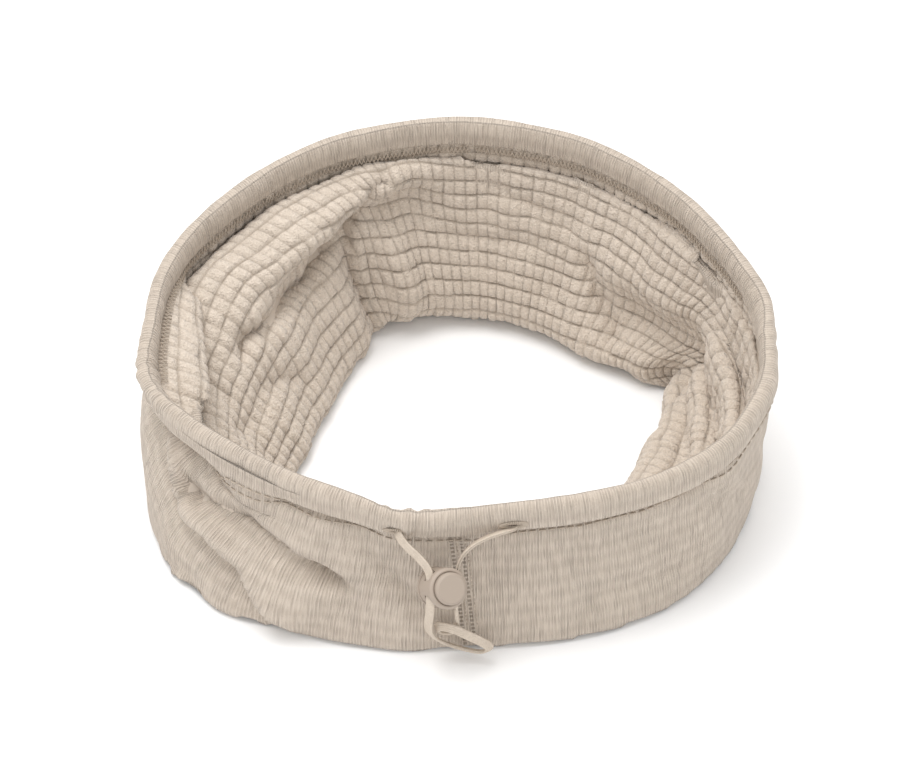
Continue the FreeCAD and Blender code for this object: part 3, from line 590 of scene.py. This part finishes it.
def tube_shell(name, front, back, outward, lowest, degrees, down):
    """A thin closed sheet round the tube: a fine front grid and a coarser back grid. Its UV map
    is the cloth laid flat, from its degrees round the tube and its mm down."""
    rows, columns = front.shape[:2]
    back_rows, back_columns = back.shape[:2]
    ratio = columns // back_columns
    count = rows * columns
    front_faces = ring_faces(rows, columns)
    back_faces = [tuple(count + corner for corner in face) for face in ring_faces(back_rows, back_columns)]
    edges = []
    for row, back_row, top in ((0, 0, True), (rows - 1, back_rows - 1, False)):
        for column in range(back_columns):
            run = [row * columns + (column * ratio + step) % columns for step in range(ratio + 1)]
            pair = [count + back_row * back_columns + (column + 1) % back_columns,
                    count + back_row * back_columns + column]
            loop = tuple(run + pair)
            edges.append(tuple(reversed(loop)) if top else loop)
    if outward:
        front_faces = [tuple(reversed(face)) for face in front_faces]
        edges = [tuple(reversed(face)) for face in edges]
    else:
        back_faces = [tuple(reversed(face)) for face in back_faces]
    vertices = np.concatenate([front.reshape(-1, 3), back.reshape(-1, 3)]) * MM
    vertices[:, 2] = np.maximum(vertices[:, 2], lowest * MM)
    uvs = np.zeros((len(vertices), 2))
    uvs[:count, 0] = np.tile(degrees / 360.0 * ROUND_LENGTH / UV_UNIT, rows)
    uvs[:count, 1] = down.ravel() / UV_UNIT
    piece = mesh_piece(name, vertices, front_faces + back_faces + edges, uvs)
    mend_wrap(piece.data)
    return piece


def mend_wrap(mesh):
    """Carries the UVs on over the join, where the round ends beside its start."""
    period = ROUND_LENGTH / UV_UNIT
    layer = mesh.uv_layers["surface"].data
    flat = np.empty(len(layer) * 2, dtype=np.float32)
    layer.foreach_get("uv", flat)
    flat = flat.reshape(-1, 2)
    starts = np.empty(len(mesh.polygons), dtype=np.int32)
    mesh.polygons.foreach_get("loop_start", starts)
    highest = np.maximum.reduceat(flat[:, 0], starts)
    totals = np.diff(np.append(starts, len(flat)))
    behind = np.repeat(highest, totals) - flat[:, 0] > period / 2.0
    flat[behind, 0] += period
    layer.foreach_set("uv", flat.ravel())


# The pile side: blocks between deep gaps. Four columns and five rows of mesh shape each block.
BLOCKS_ROUND = 132
ACROSS_BLOCK = (0.0, 0.15, 0.5, 0.85)
ACROSS_HEIGHT = (0.42, 0.9, 1.0, 0.9)
DOWN_BLOCK = (0.0, 0.11, 0.36, 0.64, 0.89)
DOWN_HEIGHT = (0.12, 0.82, 1.0, 1.0, 0.82)
PILE_BASE = 0.2         # mm inside the cloth's middle surface
PILE_HEIGHT = 1.25
PILE_FLOOR = 0.9        # the pile inside the fold keeps this far above the floor
STRIP_ROWS = 4
HIDDEN_ROWS = 14
SLOPE_ROWS = 12
UNDER_ROWS = 1

block_degrees = 360.0 / BLOCKS_ROUND
fleece_degrees = np.array([
    (block + share) * block_degrees for block in range(BLOCKS_ROUND) for share in ACROSS_BLOCK
])
dense, dense_normal, distance = fabric_dense(fleece_degrees)
row_marks = []          # (section's first level, row, distance down, height, whether the pile is seen)
for start, stop, count, blocks in (
    (LEVEL_HEM, LEVEL_STRIP_END, STRIP_ROWS, True),
    (LEVEL_STRIP_END, LEVEL_TOP, HIDDEN_ROWS, False),
    (LEVEL_TOP, LEVEL_OPENING, SLOPE_ROWS, True),
    (LEVEL_OPENING, LEVEL_END, UNDER_ROWS, True),
):
    first, final = distance[start * FINE_STEPS], distance[stop * FINE_STEPS]
    for row in range(count):
        shares = DOWN_BLOCK if blocks else (0.0, 0.33, 0.67)
        levels_high = DOWN_HEIGHT if blocks else (0.6, 0.6, 0.6)
        for share, high in zip(shares, levels_high):
            down = first + (final - first) * (row + share) / count
            row_marks.append((start, row, down, high, float(blocks)))
row_marks.append((LEVEL_END, 0, distance[-1] - 0.01, 0.3, 1.0))
row_wander = soft_noise(random, fleece_degrees[None, :], 0.0, 7, 0.5, 14.0, 60.0)
targets = np.array([mark[2] for mark in row_marks])
heights, seen = np.array([mark[3:] for mark in row_marks]).T[:, :, None]
spread = np.sin(np.pi * np.clip((targets - distance[LEVEL_TOP * FINE_STEPS]) / 40.0, 0.0, 1.0))
targets = targets + row_wander * spread
points, normals = read_down(dense, dense_normal, distance, targets)
new_block = [0] + [int(mark[:2] != before[:2]) for before, mark in zip(row_marks, row_marks[1:])]
block_of_row = np.cumsum(new_block)
uneven = random.normal(0.0, 0.12, (block_of_row[-1] + 1, BLOCKS_ROUND))
block_uneven = np.repeat(uneven[block_of_row], len(ACROSS_BLOCK), axis=1)
gaps = random.uniform(0.0, 0.55, (block_of_row[-1] + 1, BLOCKS_ROUND))
gap_filled = np.repeat(gaps[block_of_row], len(ACROSS_BLOCK), axis=1)
shape = heights * np.tile(ACROSS_HEIGHT, BLOCKS_ROUND)
shape = shape + (1.0 - shape) * gap_filled * 0.6
tufts = random.normal(0.0, 0.05, shape.shape)
# Where the strip closes up against the hem at the left front, its pile is pressed flat.
pressed = np.exp(-((fleece_degrees - 304.0) / 10.0) ** 2)
in_strip = np.array([float(mark[0] == LEVEL_HEM) for mark in row_marks])[:, None]
shape = shape * (1.0 - 0.8 * pressed * in_strip)
pile = PILE_BASE + PILE_HEIGHT * (shape * (1.0 + block_uneven) + tufts) * seen
fleece_front = points - normals * pile[:, :, None]
back_rows = np.linspace(0, len(targets) - 1, 64).astype(int)
fleece_back = (points - normals * 0.05)[back_rows][:, ::2]
fleece = tube_shell("grid_fleece_face", fleece_front, fleece_back, False, PILE_FLOOR, fleece_degrees, targets)
# The blocks' shape is kept for the pile material, which paints shade where the pile is low: in the gaps
# between blocks and on the pressed strip.
pile_values = np.zeros(len(fleece.data.vertices), dtype=np.float32)
pile_values[:pile.size] = shape.ravel()
fleece.data.attributes.new("pile", "FLOAT", "POINT").data.foreach_set("value", pile_values)

# The knit side: a smooth, fine-ribbed face that shows the rows behind it faintly.
KNIT_COLUMNS = 320
KNIT_ROWS = 110
KNIT_FLOOR = 0.05
knit_degrees = np.arange(KNIT_COLUMNS) * 360.0 / KNIT_COLUMNS
dense, dense_normal, distance = fabric_dense(knit_degrees)
shares = np.linspace(0.0, 1.0, KNIT_ROWS)[:, None]
targets = distance[0] + (distance[-1] - distance[0]) * shares
points, normals = read_down(dense, dense_normal, distance, targets)
row_swell = 0.05 * np.cos(2 * math.pi * targets / ROW_PITCH)
knit_front = points + normals * (1.05 + row_swell)[:, :, None]
knit_back = (points + normals * 0.1)[::3, ::2]
knit = tube_shell("knit_outer_face", knit_front, knit_back, True, KNIT_FLOOR, knit_degrees, targets)

# The knit face shows fine wales and, faintly, the rows behind; the pile is a dense short nap, with painted
# shade in the gaps between its blocks.
WALE_PITCH = 0.8        # mm
KNIT_DARK = (0.46, 0.388, 0.32, 1.0)
KNIT_LIGHT = (0.625, 0.54, 0.455, 1.0)
# Painted shade: the dark colour the pile takes in the gaps between its blocks.
PILE_GAP_SHADE = (0.36, 0.29, 0.225, 1.0)
PILE_DARK = (0.51, 0.43, 0.35, 1.0)
PILE_LIGHT = (0.70, 0.605, 0.51, 1.0)
SEAM_LINE_GAP = 2.8     # between the seam's two lines of needle holes
SEAM_PITCH = 1.35
SEAM_HOLE = (0.13, 0.10, 0.075, 1.0)
SEAM_LEAN = 0.11

knit_group = tree = bpy.data.node_groups.new("knit_relief", "ShaderNodeTree")
for output in ("Height", "Tone", "Hole"):
    tree.interface.new_socket(output, in_out="OUTPUT", socket_type="NodeSocketFloat")
group_end = tree.nodes.new("NodeGroupOutput")
surface = tree.nodes.new("ShaderNodeUVMap")
surface.uv_map = "surface"
apart = tree.nodes.new("ShaderNodeSeparateXYZ")
tree.links.new(surface.outputs[0], apart.inputs[0])
around_mm = reckon(tree, "MULTIPLY", apart.outputs[0], UV_UNIT)
down_mm = reckon(tree, "MULTIPLY", apart.outputs[1], UV_UNIT)
wander = reckon(tree, "MULTIPLY", speckle(tree, surface.outputs[0], 30.0), 1.2)
wale_turn = reckon(tree, "MULTIPLY", around_mm, 2 * math.pi / WALE_PITCH)
wale = reckon(tree, "SINE", reckon(tree, "ADD", wale_turn, wander))
row = reckon(tree, "COSINE", reckon(tree, "MULTIPLY", down_mm, 2 * math.pi / ROW_PITCH))
stretched = tree.nodes.new("ShaderNodeMapping")
stretched.inputs["Scale"].default_value = (1.0, 0.07, 1.0)
tree.links.new(surface.outputs[0], stretched.inputs["Vector"])
streak = speckle(tree, stretched.outputs[0], 210.0, 3.0)
fuzz = speckle(tree, surface.outputs[0], 260.0, 3.0)
mottle = speckle(tree, surface.outputs[0], 22.0, 3.0)
streak_tone = reckon(tree, "SUBTRACT", streak, 0.45)
feed(tree, group_end.inputs["Height"], weighted(tree, (wale, 0.35), (streak, 2.6), (fuzz, 0.9)))
feed(tree, group_end.inputs["Tone"], weighted(
    tree, (wale, 0.3), (row, 0.15), (mottle, 0.45), (fuzz, 0.35), (streak_tone, 1.9)))
# Needle holes of the front seam: two leaning dotted lines.
seam_middle = reckon(tree, "ADD", reckon(tree, "MULTIPLY", down_mm, SEAM_LEAN), SEAM_LINE_GAP / -2.0)
from_seam = reckon(tree, "SUBTRACT", around_mm, seam_middle)
turned = reckon(tree, "MODULO", reckon(tree, "ADD", from_seam, 1.5 * ROUND_LENGTH), ROUND_LENGTH)
to_seam = reckon(tree, "ABSOLUTE", reckon(tree, "SUBTRACT", turned, 0.5 * ROUND_LENGTH))
to_line = reckon(tree, "ABSOLUTE", reckon(tree, "SUBTRACT", to_seam, SEAM_LINE_GAP / 2.0))
on_line = reckon(tree, "LESS_THAN", to_line, 0.5)
pitch_wave = reckon(tree, "SINE", reckon(tree, "MULTIPLY", down_mm, 2 * math.pi / SEAM_PITCH))
dot = reckon(tree, "GREATER_THAN", pitch_wave, -0.3)
below_hem = reckon(tree, "GREATER_THAN", down_mm, 0.5)
hole = reckon(tree, "MULTIPLY", reckon(tree, "MULTIPLY", on_line, dot), below_hem)
feed(tree, group_end.inputs["Hole"], hole)


def knit_cloth(name, hole_share):
    """The knit face's material, with the seam's needle holes shown by the given share."""
    material, tree, shader = new_material(name, KNIT_LIGHT, 0.85, 0.2)
    values = tree.nodes.new("ShaderNodeGroup")
    values.node_tree = knit_group
    colour = blend_colours(tree, values.outputs["Tone"], KNIT_DARK, KNIT_LIGHT)
    if hole_share:
        holes = reckon(tree, "MULTIPLY", values.outputs["Hole"], hole_share)
        colour = blend_colours(tree, holes, colour, SEAM_HOLE)
    tree.links.new(colour, shader.inputs["Base Color"])
    shader.inputs["Sheen Weight"].default_value = 0.15
    shader.inputs["Sheen Roughness"].default_value = 0.5
    add_bump(tree, shader, values.outputs["Height"], 0.0003)
    return material


knit_material = knit_cloth("grid_fleece_knit", 0.62)
hem_material = knit_cloth("hem_knit", 0.0)

pile_material, tree, shader = new_material("grid_fleece_pile", PILE_LIGHT, 0.95, 0.1)
coordinates = tree.nodes.new("ShaderNodeTexCoord").outputs["Object"]
high = tree.nodes.new("ShaderNodeAttribute")
high.attribute_name = "pile"
nap = speckle(tree, coordinates, 1700.0, 4.0)
tuft = speckle(tree, coordinates, 650.0, 3.0)
patchy = speckle(tree, coordinates, 90.0, 2.0)
share = reckon(tree, "SUBTRACT", weighted(tree, (nap, 1.6), (tuft, 1.0), (patchy, 0.5)), 0.95)
top_colour = blend_colours(tree, share, PILE_DARK, PILE_LIGHT)
# Painted shade: where the pile is low, between the blocks, the colour goes to the dark gap shade.
depth = reckon(tree, "MULTIPLY", high.outputs["Fac"], 1.25)
tree.links.new(blend_colours(tree, depth, PILE_GAP_SHADE, top_colour), shader.inputs["Base Color"])
shader.inputs["Sheen Weight"].default_value = 0.3
shader.inputs["Sheen Roughness"].default_value = 0.6
add_bump(tree, shader, weighted(tree, (nap, 1.0), (tuft, 1.2)), 0.0006)

for piece, material in ((fleece, pile_material), (knit, knit_material)):
    piece.data.materials.append(material)
    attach(piece, "gaiter")
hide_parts("fleece_tube")

# ---- hem
# The upper edge turned in and stitched down as an 8 mm tunnel for the drawcord. Its knit
# face wraps over the top; the cord inside rounds it out. Round the front the roll stands
# proud of the wall with a crisp lower edge, elsewhere it runs smoothly into the wall.
HEM_TOP = [
    (-1.2, -0.25), (0.2, 0.0), (1.5, -0.4), (2.3, -1.5), (2.6, -3.2),
]
HEM_SMOOTH_EDGE = [
    (2.6, -5.0), (2.4, -6.6), (1.9, -8.2), (1.5, -9.6), (1.2, -10.6), (0.5, -10.8),
]
HEM_PROUD_EDGE = [
    (2.7, -5.0), (2.8, -6.8), (2.75, -8.3), (2.1, -8.5), (0.9, -8.0), (0.3, -8.4),
]
HEM_INSIDE = [
    (-0.6, -8.6), (-1.6, -8.6), (-2.3, -8.0), (-2.6, -6.6), (-2.7, -4.6), (-2.5, -2.6), (-2.0, -1.0),
]
# How far the roll stands proud (0 to 1), leans outward and drops, round the tube:
# (degrees, proud, lean in degrees, drop in mm).
HEM_LIE = [
    (0, 1, 12, 0.5), (15, 1, 6, 0), (40, 1, 2, 0), (55, 0.8, 0, 0), (68, 0.1, -2, 0), (88, 0, 2, 0),
    (97, 0, 14, 0.8), (106, 0, 2, 0), (140, 0, 2, 0), (180, 0, 4, 0), (220, 0, 2, 0), (255, 0, -2, 0),
    (272, 0, 0, 0), (283, 0, 18, 0.6), (293, 0, 6, 0), (306, 0.1, 0, 0), (318, 0.9, 0, 0), (338, 1, 4, 0),
    (347, 1, 19, 0.8), (353, 1, 18, 1.0),
]
HEM_COLUMNS = 540
HEM_STEPS = 44
HEM_PIVOT = 7.5         # the hem leans about a line this far below its top


def spline_round(points, steps):
    """Weights of a closed uniform cubic B-spline's control points, one row for each step."""
    weights = np.zeros((steps, points))
    for step in range(steps):
        value = step * points / steps
        for offset, share in enumerate(spline_blend(value - int(value))):
            weights[step, (int(value) - 1 + offset) % points] += share
    return weights


def rim_frame(degrees):
    """The middle of the hem's top edge, and outward, up and forward directions that lean with it."""
    behind, rim, ahead = [round_the_tube(RIM, degrees + step, rounder=True) for step in (-0.5, 0.0, 0.5)]
    forward = unit(ahead - behind)
    outward = unit(np.stack([forward[:, 1], -forward[:, 0], np.zeros(len(degrees))], axis=1))
    up = np.cross(forward, outward)
    up = unit(np.where(up[:, 2:] < 0, -up, up))
    lie = round_the_tube(HEM_LIE, degrees, rounder=True)
    angle = np.radians(lie[:, 1])[:, None]
    leaning_out = outward * np.cos(angle) - up * np.sin(angle)
    leaning_up = up * np.cos(angle) + outward * np.sin(angle)
    return rim, leaning_out, leaning_up, forward, lie


def hem_point(degrees, out, down):
    """Points of the hem at places in its section: out from its middle, down from its top."""
    rim, leaning_out, leaning_up, _, lie = rim_frame(degrees)
    pivot = rim - np.array([0, 0, 1.0]) * (HEM_PIVOT + lie[:, 2:3])
    return pivot + leaning_out * out[:, None] + leaning_up * (HEM_PIVOT + down[:, None])


hem_degrees = np.arange(HEM_COLUMNS) * 360.0 / HEM_COLUMNS
smooth_section = np.array(HEM_TOP + HEM_SMOOTH_EDGE + HEM_INSIDE)
proud_section = np.array(HEM_TOP + HEM_PROUD_EDGE + HEM_INSIDE)
round_weights = spline_round(len(smooth_section), HEM_STEPS)
smooth_section = round_weights @ smooth_section
proud_section = round_weights @ proud_section
proud = np.clip(rim_frame(hem_degrees)[4][:, 0], 0.0, 1.0)
# The cord draws the roll into small gathers, most of all where it has bunched up.
BUNCHED = (92.0, 283.0, 350.0)
gather = soft_noise(random, hem_degrees, 0.0, 12, 0.12, 7.0, 20.0)
swell = soft_noise(random, hem_degrees, 0.0, 6, 0.22, 30.0, 80.0)
for bunched in BUNCHED:
    near = np.exp(-((np.mod(hem_degrees - bunched + 180.0, 360.0) - 180.0) / 7.0) ** 2)
    gather = gather + near * soft_noise(random, hem_degrees, 0.0, 5, 0.55, 3.5, 8.0)
# Inside the front, the patches and the seam's turnings thicken the roll.
front_bulk = 1.3 * np.exp(-((np.mod(hem_degrees + 180.0, 360.0) - 180.0) / 15.0) ** 4)
hem_rings = []
for smooth_place, proud_place in zip(smooth_section, proud_section):
    out = smooth_place[0] * (1 - proud) + proud_place[0] * proud
    down = smooth_place[1] * (1 - proud) + proud_place[1] * proud
    amount = (gather + swell) * np.exp(-((down + 4.0) / 4.5) ** 2)
    amount = amount + np.where(out < 0, front_bulk, 0.0) * np.exp(-((down + 5.0) / 3.5) ** 2)
    hem_rings.append(hem_point(hem_degrees, out + np.sign(out) * amount, down))
hem_rings = np.array(hem_rings)
hem_faces = ring_faces(HEM_STEPS, HEM_COLUMNS)
last_row = (HEM_STEPS - 1) * HEM_COLUMNS
hem_faces += [(last_row + column, last_row + (column + 1) % HEM_COLUMNS, (column + 1) % HEM_COLUMNS, column)
              for column in range(HEM_COLUMNS)]
hem_faces = [tuple(reversed(face)) for face in hem_faces]
section_run = np.concatenate([[0.0], np.cumsum(np.linalg.norm(np.diff(smooth_section, axis=0), axis=1))])
hem_uvs = np.array([
    (degree / 360.0 * ROUND_LENGTH / UV_UNIT, run / UV_UNIT) for run in section_run for degree in hem_degrees
])
hem = mesh_piece("drawcord_hem", hem_rings.reshape(-1, 3) * MM, hem_faces, hem_uvs)
mend_wrap(hem.data)
hem.data.materials.append(hem_material)
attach(hem, "gaiter")


def band_in_hem(name, first, final, out, down, half_width, half_thickness, steps):
    """A flat band standing inside the hem, from one place round the rim to another."""
    places = np.linspace(first, final, steps)
    corners = [(out + side * half_thickness, down + high * half_width)
               for side, high in ((-1, -1), (1, -1), (1, 1), (-1, 1))]
    rings = np.stack([hem_point(places, np.full(steps, o), np.full(steps, d)) for o, d in corners], axis=1)
    faces = ring_faces(steps, len(corners))
    faces.append((3, 2, 1, 0))
    faces.append(tuple(range(4 * steps - 4, 4 * steps)))
    band = mesh_piece(name, rings.reshape(-1, 3) * MM, faces)
    band.data.shade_flat()
    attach(band, "gaiter")
    return band


# Inside the hem: the rest of the elastic, and a stiffening patch behind each buttonhole.
patch_material = new_material("stiff_interlining", (0.60, 0.53, 0.45, 1.0), 0.9)[0]
EYELET_DEGREES = 11.4   # to either side of the front seam
EYELET_DOWN = -5.6
tunnel_cord = band_in_hem("drawcord_in_hem", EYELET_DEGREES, 360.0 - EYELET_DEGREES, 0.0, -5.0, 1.4, 0.5, 240)
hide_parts("drawcord_tunnel_run")
tunnel_cord.data.materials.append(elastic_material)
for side, place in (("left", 360.0 - EYELET_DEGREES), ("right", EYELET_DEGREES)):
    patch = band_in_hem(side + "_patch", place - 4.0, place + 4.0, 1.1, -4.8, 2.6, 0.15, 12)
    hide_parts(side + "_eyelet_patch")
    patch.data.materials.append(patch_material)

# ---- stitching
# Spun polyester thread: a coverstitch holds the hem down, with two needle rows outside and a
# looper thread zigzagging over the raw edge inside; a flatlock seam closes the tube in front;
# a tight overcast edge guards each eyelet.
THREAD_RADIUS = 0.26
thread_material = new_material("polyester_thread", (0.44, 0.37, 0.30, 1.0), 0.6)[0]
CAPSULE_SIDES = 6
CAPSULE_RINGS = ((-0.5, 0.0), (-0.46, 0.6), (-0.36, 0.95), (0.0, 1.0), (0.36, 0.95), (0.46, 0.6), (0.5, 0.0))


def stitches(name, replaced, rows, length, radius):
    """Short rounded stitches on a surface, for a CAD node: rows of places, directions and normals."""
    centres, directions, ups = [np.concatenate(values) for values in zip(*rows)]
    side = unit(np.cross(ups, directions))
    ups = np.cross(directions, side)
    rings = []
    for place, swell_by in CAPSULE_RINGS:
        for turn in range(CAPSULE_SIDES):
            angle = 2 * math.pi * turn / CAPSULE_SIDES
            bow = radius * 0.8 * (1.0 - (2.0 * place) ** 2)
            rings.append(
                centres + directions * (place * length)
                + side * (math.cos(angle) * radius * swell_by)
                + ups * (math.sin(angle) * radius * swell_by + bow)
            )
    verts = np.stack(rings, axis=1)
    per_stitch = verts.shape[1]
    one = ring_faces(len(CAPSULE_RINGS), CAPSULE_SIDES)
    faces = [tuple(first + corner for corner in face)
             for first in range(0, per_stitch * len(centres), per_stitch) for face in one]
    piece = mesh_piece(name, verts.reshape(-1, 3) * MM, faces)
    bpy.ops.object.select_all(action="DESELECT")
    bpy.context.view_layer.objects.active = piece
    piece.select_set(True)
    bpy.ops.object.mode_set(mode="EDIT")
    bpy.ops.mesh.select_all(action="SELECT")
    bpy.ops.mesh.remove_doubles(threshold=1e-7)
    bpy.ops.mesh.normals_make_consistent(inside=False)
    bpy.ops.object.mode_set(mode="OBJECT")
    piece.data.materials.append(thread_material)
    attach(piece, "gaiter")
    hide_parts(replaced)


def on_fabric(degrees, down, offset):
    """Places on the fabric, down mm from the hem's base and offset out from its middle, with the
    outward, forward and downward directions there."""
    degrees = np.mod(degrees, 360.0)
    down = np.broadcast_to(down, degrees.shape)
    found = np.empty((len(degrees), 4, 3))
    for index, (degree, wanted) in enumerate(zip(degrees, down)):
        place = degree / 360.0 * KNIT_COLUMNS
        first, share = int(place), place - int(place)
        for step, (shift, reach) in enumerate(((0, 0.0), (1, 0.0), (0, 0.6), (1, 0.6))):
            column = (first + shift) % KNIT_COLUMNS
            found[index, step] = [np.interp(wanted + reach, distance[:, column], dense[:, column, axis])
                                  for axis in range(3)]
        found[index, 0], found[index, 1] = (
            found[index, 0] * (1 - share) + found[index, 1] * share, found[index, 1] - found[index, 0])
        found[index, 2] = found[index, 2] * (1 - share) + found[index, 3] * share - found[index, 0]
    forward = unit(found[:, 1])
    downward = unit(found[:, 2])
    normal = unit(np.cross(downward, forward))
    return found[:, 0] + normal * np.broadcast_to(offset, degrees.shape)[:, None], normal, forward, downward


STITCH_LENGTH = 2.6
ROW_GAP = 2.5           # between the two needle rows
CROWDED = 0.7           # where a crease crowds or spreads the stitches past these shares of their
SPREAD = 1.5            # length, they are left out
stitch_count = int(ROUND_LENGTH / STITCH_LENGTH)
stitch_degrees = np.arange(stitch_count) * 360.0 / stitch_count
# At the left the wall folds in under the hem and comes out again, and the rows show below that.
EMERGING_ROW = ((279, 29.7), (287, 24.1), (295, 17.1), (303, 8.0), (311, 1.2))
SWALLOWED = (253.0, 279.0)
emerging = (stitch_degrees > EMERGING_ROW[0][0]) & (stitch_degrees < EMERGING_ROW[-1][0])
emerging_down = np.interp(stitch_degrees, *np.array(EMERGING_ROW, dtype=float).T)
first_row = np.where(emerging, emerging_down, EMERGING_ROW[-1][1])
stitch_proud = np.clip(rim_frame(stitch_degrees)[4][:, 0] + emerging, 0.0, 1.0)
shown = (stitch_degrees < SWALLOWED[0]) | (stitch_degrees > SWALLOWED[1])
needle_rows = []
for down, offset in ((first_row, 1.65 - 0.45 * stitch_proud), (first_row + ROW_GAP, 1.15)):
    place, normal, _, _ = on_fabric(stitch_degrees, down, offset)
    run = np.roll(place, -1, axis=0) - np.roll(place, 1, axis=0)
    step = np.linalg.norm(run, axis=1) / 2.0
    kept = shown & (step > CROWDED * STITCH_LENGTH) & (step < SPREAD * STITCH_LENGTH)
    run = unit(run)
    normal = unit(normal - run * np.einsum("ij,ij->i", normal, run)[:, None])
    needle_rows.append((place[kept], run[kept], normal[kept]))
stitches("hem_needle_stitches", "hem_needle_threads", needle_rows, STITCH_LENGTH * 0.8, THREAD_RADIUS)

LOOPER_PITCH = 1.25
LOOPER_WIDTH = 3.0
looper_count = int(ROUND_LENGTH / LOOPER_PITCH)
looper_degrees = np.arange(looper_count) * 360.0 / looper_count
looper_rows = []
for slant, shift in ((1, 0.0), (-1, 0.5)):
    turned = looper_degrees + shift * 360.0 / looper_count
    place, normal, forward, downward = on_fabric(turned, 2.0, -1.9)
    rim_place, rim_out, _, _, _ = rim_frame(looper_degrees)
    inside = np.einsum("ij,ij->i", place - rim_place, rim_out) < -1.0
    inside &= np.einsum("ij,ij->i", normal, rim_out) > 0.3
    lean = unit(downward * LOOPER_WIDTH + forward * slant * 1.1)
    looper_rows.append((place[inside], lean[inside], -normal[inside]))
stitches("hem_looper_stitches", "hem_looper_thread", looper_rows, LOOPER_WIDTH, 0.19)

# The front seam's top thread: short stitches that bridge the join between its needle holes.
SEAM_STITCHES = 24
seam_down = 1.5 + np.arange(SEAM_STITCHES) * SEAM_PITCH
seam_rows = []
for line in (-0.5, 0.5):
    seam_degrees = (line * SEAM_LINE_GAP + seam_down * SEAM_LEAN) / ROUND_LENGTH * 360.0
    place, normal, forward, downward = on_fabric(seam_degrees, seam_down, 1.05)
    seam_rows.append((place, unit(downward + forward * 0.1), normal))
stitches("front_seam_stitches", "front_seam_thread", seam_rows, SEAM_PITCH * 0.62, 0.17)

# The lower edge, turned under inside the opening, is held by one row of the same stitches.
EDGE_STITCHES = 120
edge_degrees = np.arange(EDGE_STITCHES) * 360.0 / EDGE_STITCHES
edge_ends = np.interp(edge_degrees, knit_degrees, distance[-1])
place, normal, forward, _ = on_fabric(edge_degrees, edge_ends - 2.0, 0.75)
stitches("lower_edge_stitches", "lower_hem_thread", [(place, forward, normal)], 1.8, 0.2)

# Each buttonhole: a slot in the hem's face, 7 mm wide, overcast all round.
BUTTONHOLE_STITCHES = 44
BUTTONHOLE_HALF = (3.5, 0.95)
BUTTONHOLE_OUT = 2.55
# A near-black material for the painted shade inside the buttonhole slots.
slot_shade_material = new_material("slot_shade", (0.10, 0.075, 0.055, 1.0), 1.0, 0.0)[0]


def buttonhole(name, degrees, replaced):
    """The overcast edge of a slot in the hem's face, and a dark plate in the slot, painted shade for the
    tunnel's inside.
    """
    count = BUTTONHOLE_STITCHES
    turn = np.arange(count) * 2 * math.pi / count
    _, outward, upward, forward, _ = rim_frame(np.full(count, degrees))
    middle = hem_point(np.full(count, degrees), np.full(count, BUTTONHOLE_OUT), np.full(count, EYELET_DOWN))
    wide_reach, high_reach = BUTTONHOLE_HALF
    centres = (middle + forward * (np.cos(turn) * wide_reach)[:, None]
               + upward * (np.sin(turn) * high_reach)[:, None])
    radial = unit(forward * (np.cos(turn) * high_reach)[:, None]
                  + upward * (np.sin(turn) * wide_reach)[:, None])
    stitches(name, replaced, [(centres, radial, outward)], 1.4, 0.24)
    # Painted shade: a dark plate just behind the slot stands in for the shadow inside the tunnel.
    slot_ring = middle - outward * 0.05 + (centres - middle) * 0.9
    back_ring = slot_ring - outward * 0.3
    faces = ring_faces(2, count) + [tuple(reversed(range(count))), tuple(range(count, 2 * count))]
    opening = mesh_piece(name + "_slot_shade", np.concatenate([slot_ring, back_ring]) * MM, faces)
    opening.data.shade_flat()
    opening.data.materials.append(slot_shade_material)
    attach(opening, "gaiter")


buttonhole("left_buttonhole", 360.0 - EYELET_DEGREES, "left_eyelet")
buttonhole("right_buttonhole", EYELET_DEGREES, "right_eyelet")

# ---- cord lock
# A round two-part toggle moulded in matte acetal: a ring housing over a foot, with a
# spring-loaded push button inside that pinches both legs of the cord.
PLASTIC = (0.37, 0.305, 0.25, 1.0)
lock_material, tree, shader = new_material("matte_acetal", PLASTIC, 0.55, 0.35)
coordinates = tree.nodes.new("ShaderNodeTexCoord").outputs["Object"]
add_bump(tree, shader, speckle(tree, coordinates, 3500.0, 2.0), 0.00004, 0.5)
steel_material, tree, shader = new_material("spring_steel", (0.62, 0.62, 0.60, 1.0), 0.3)
shader.inputs["Metallic"].default_value = 1.0
for node_name, material in (("lock_housing", lock_material), ("lock_base", lock_material),
                            ("lock_button", lock_material), ("lock_spring", steel_material)):
    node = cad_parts[node_name]
    node.data.materials.clear()
    node.data.materials.append(material)
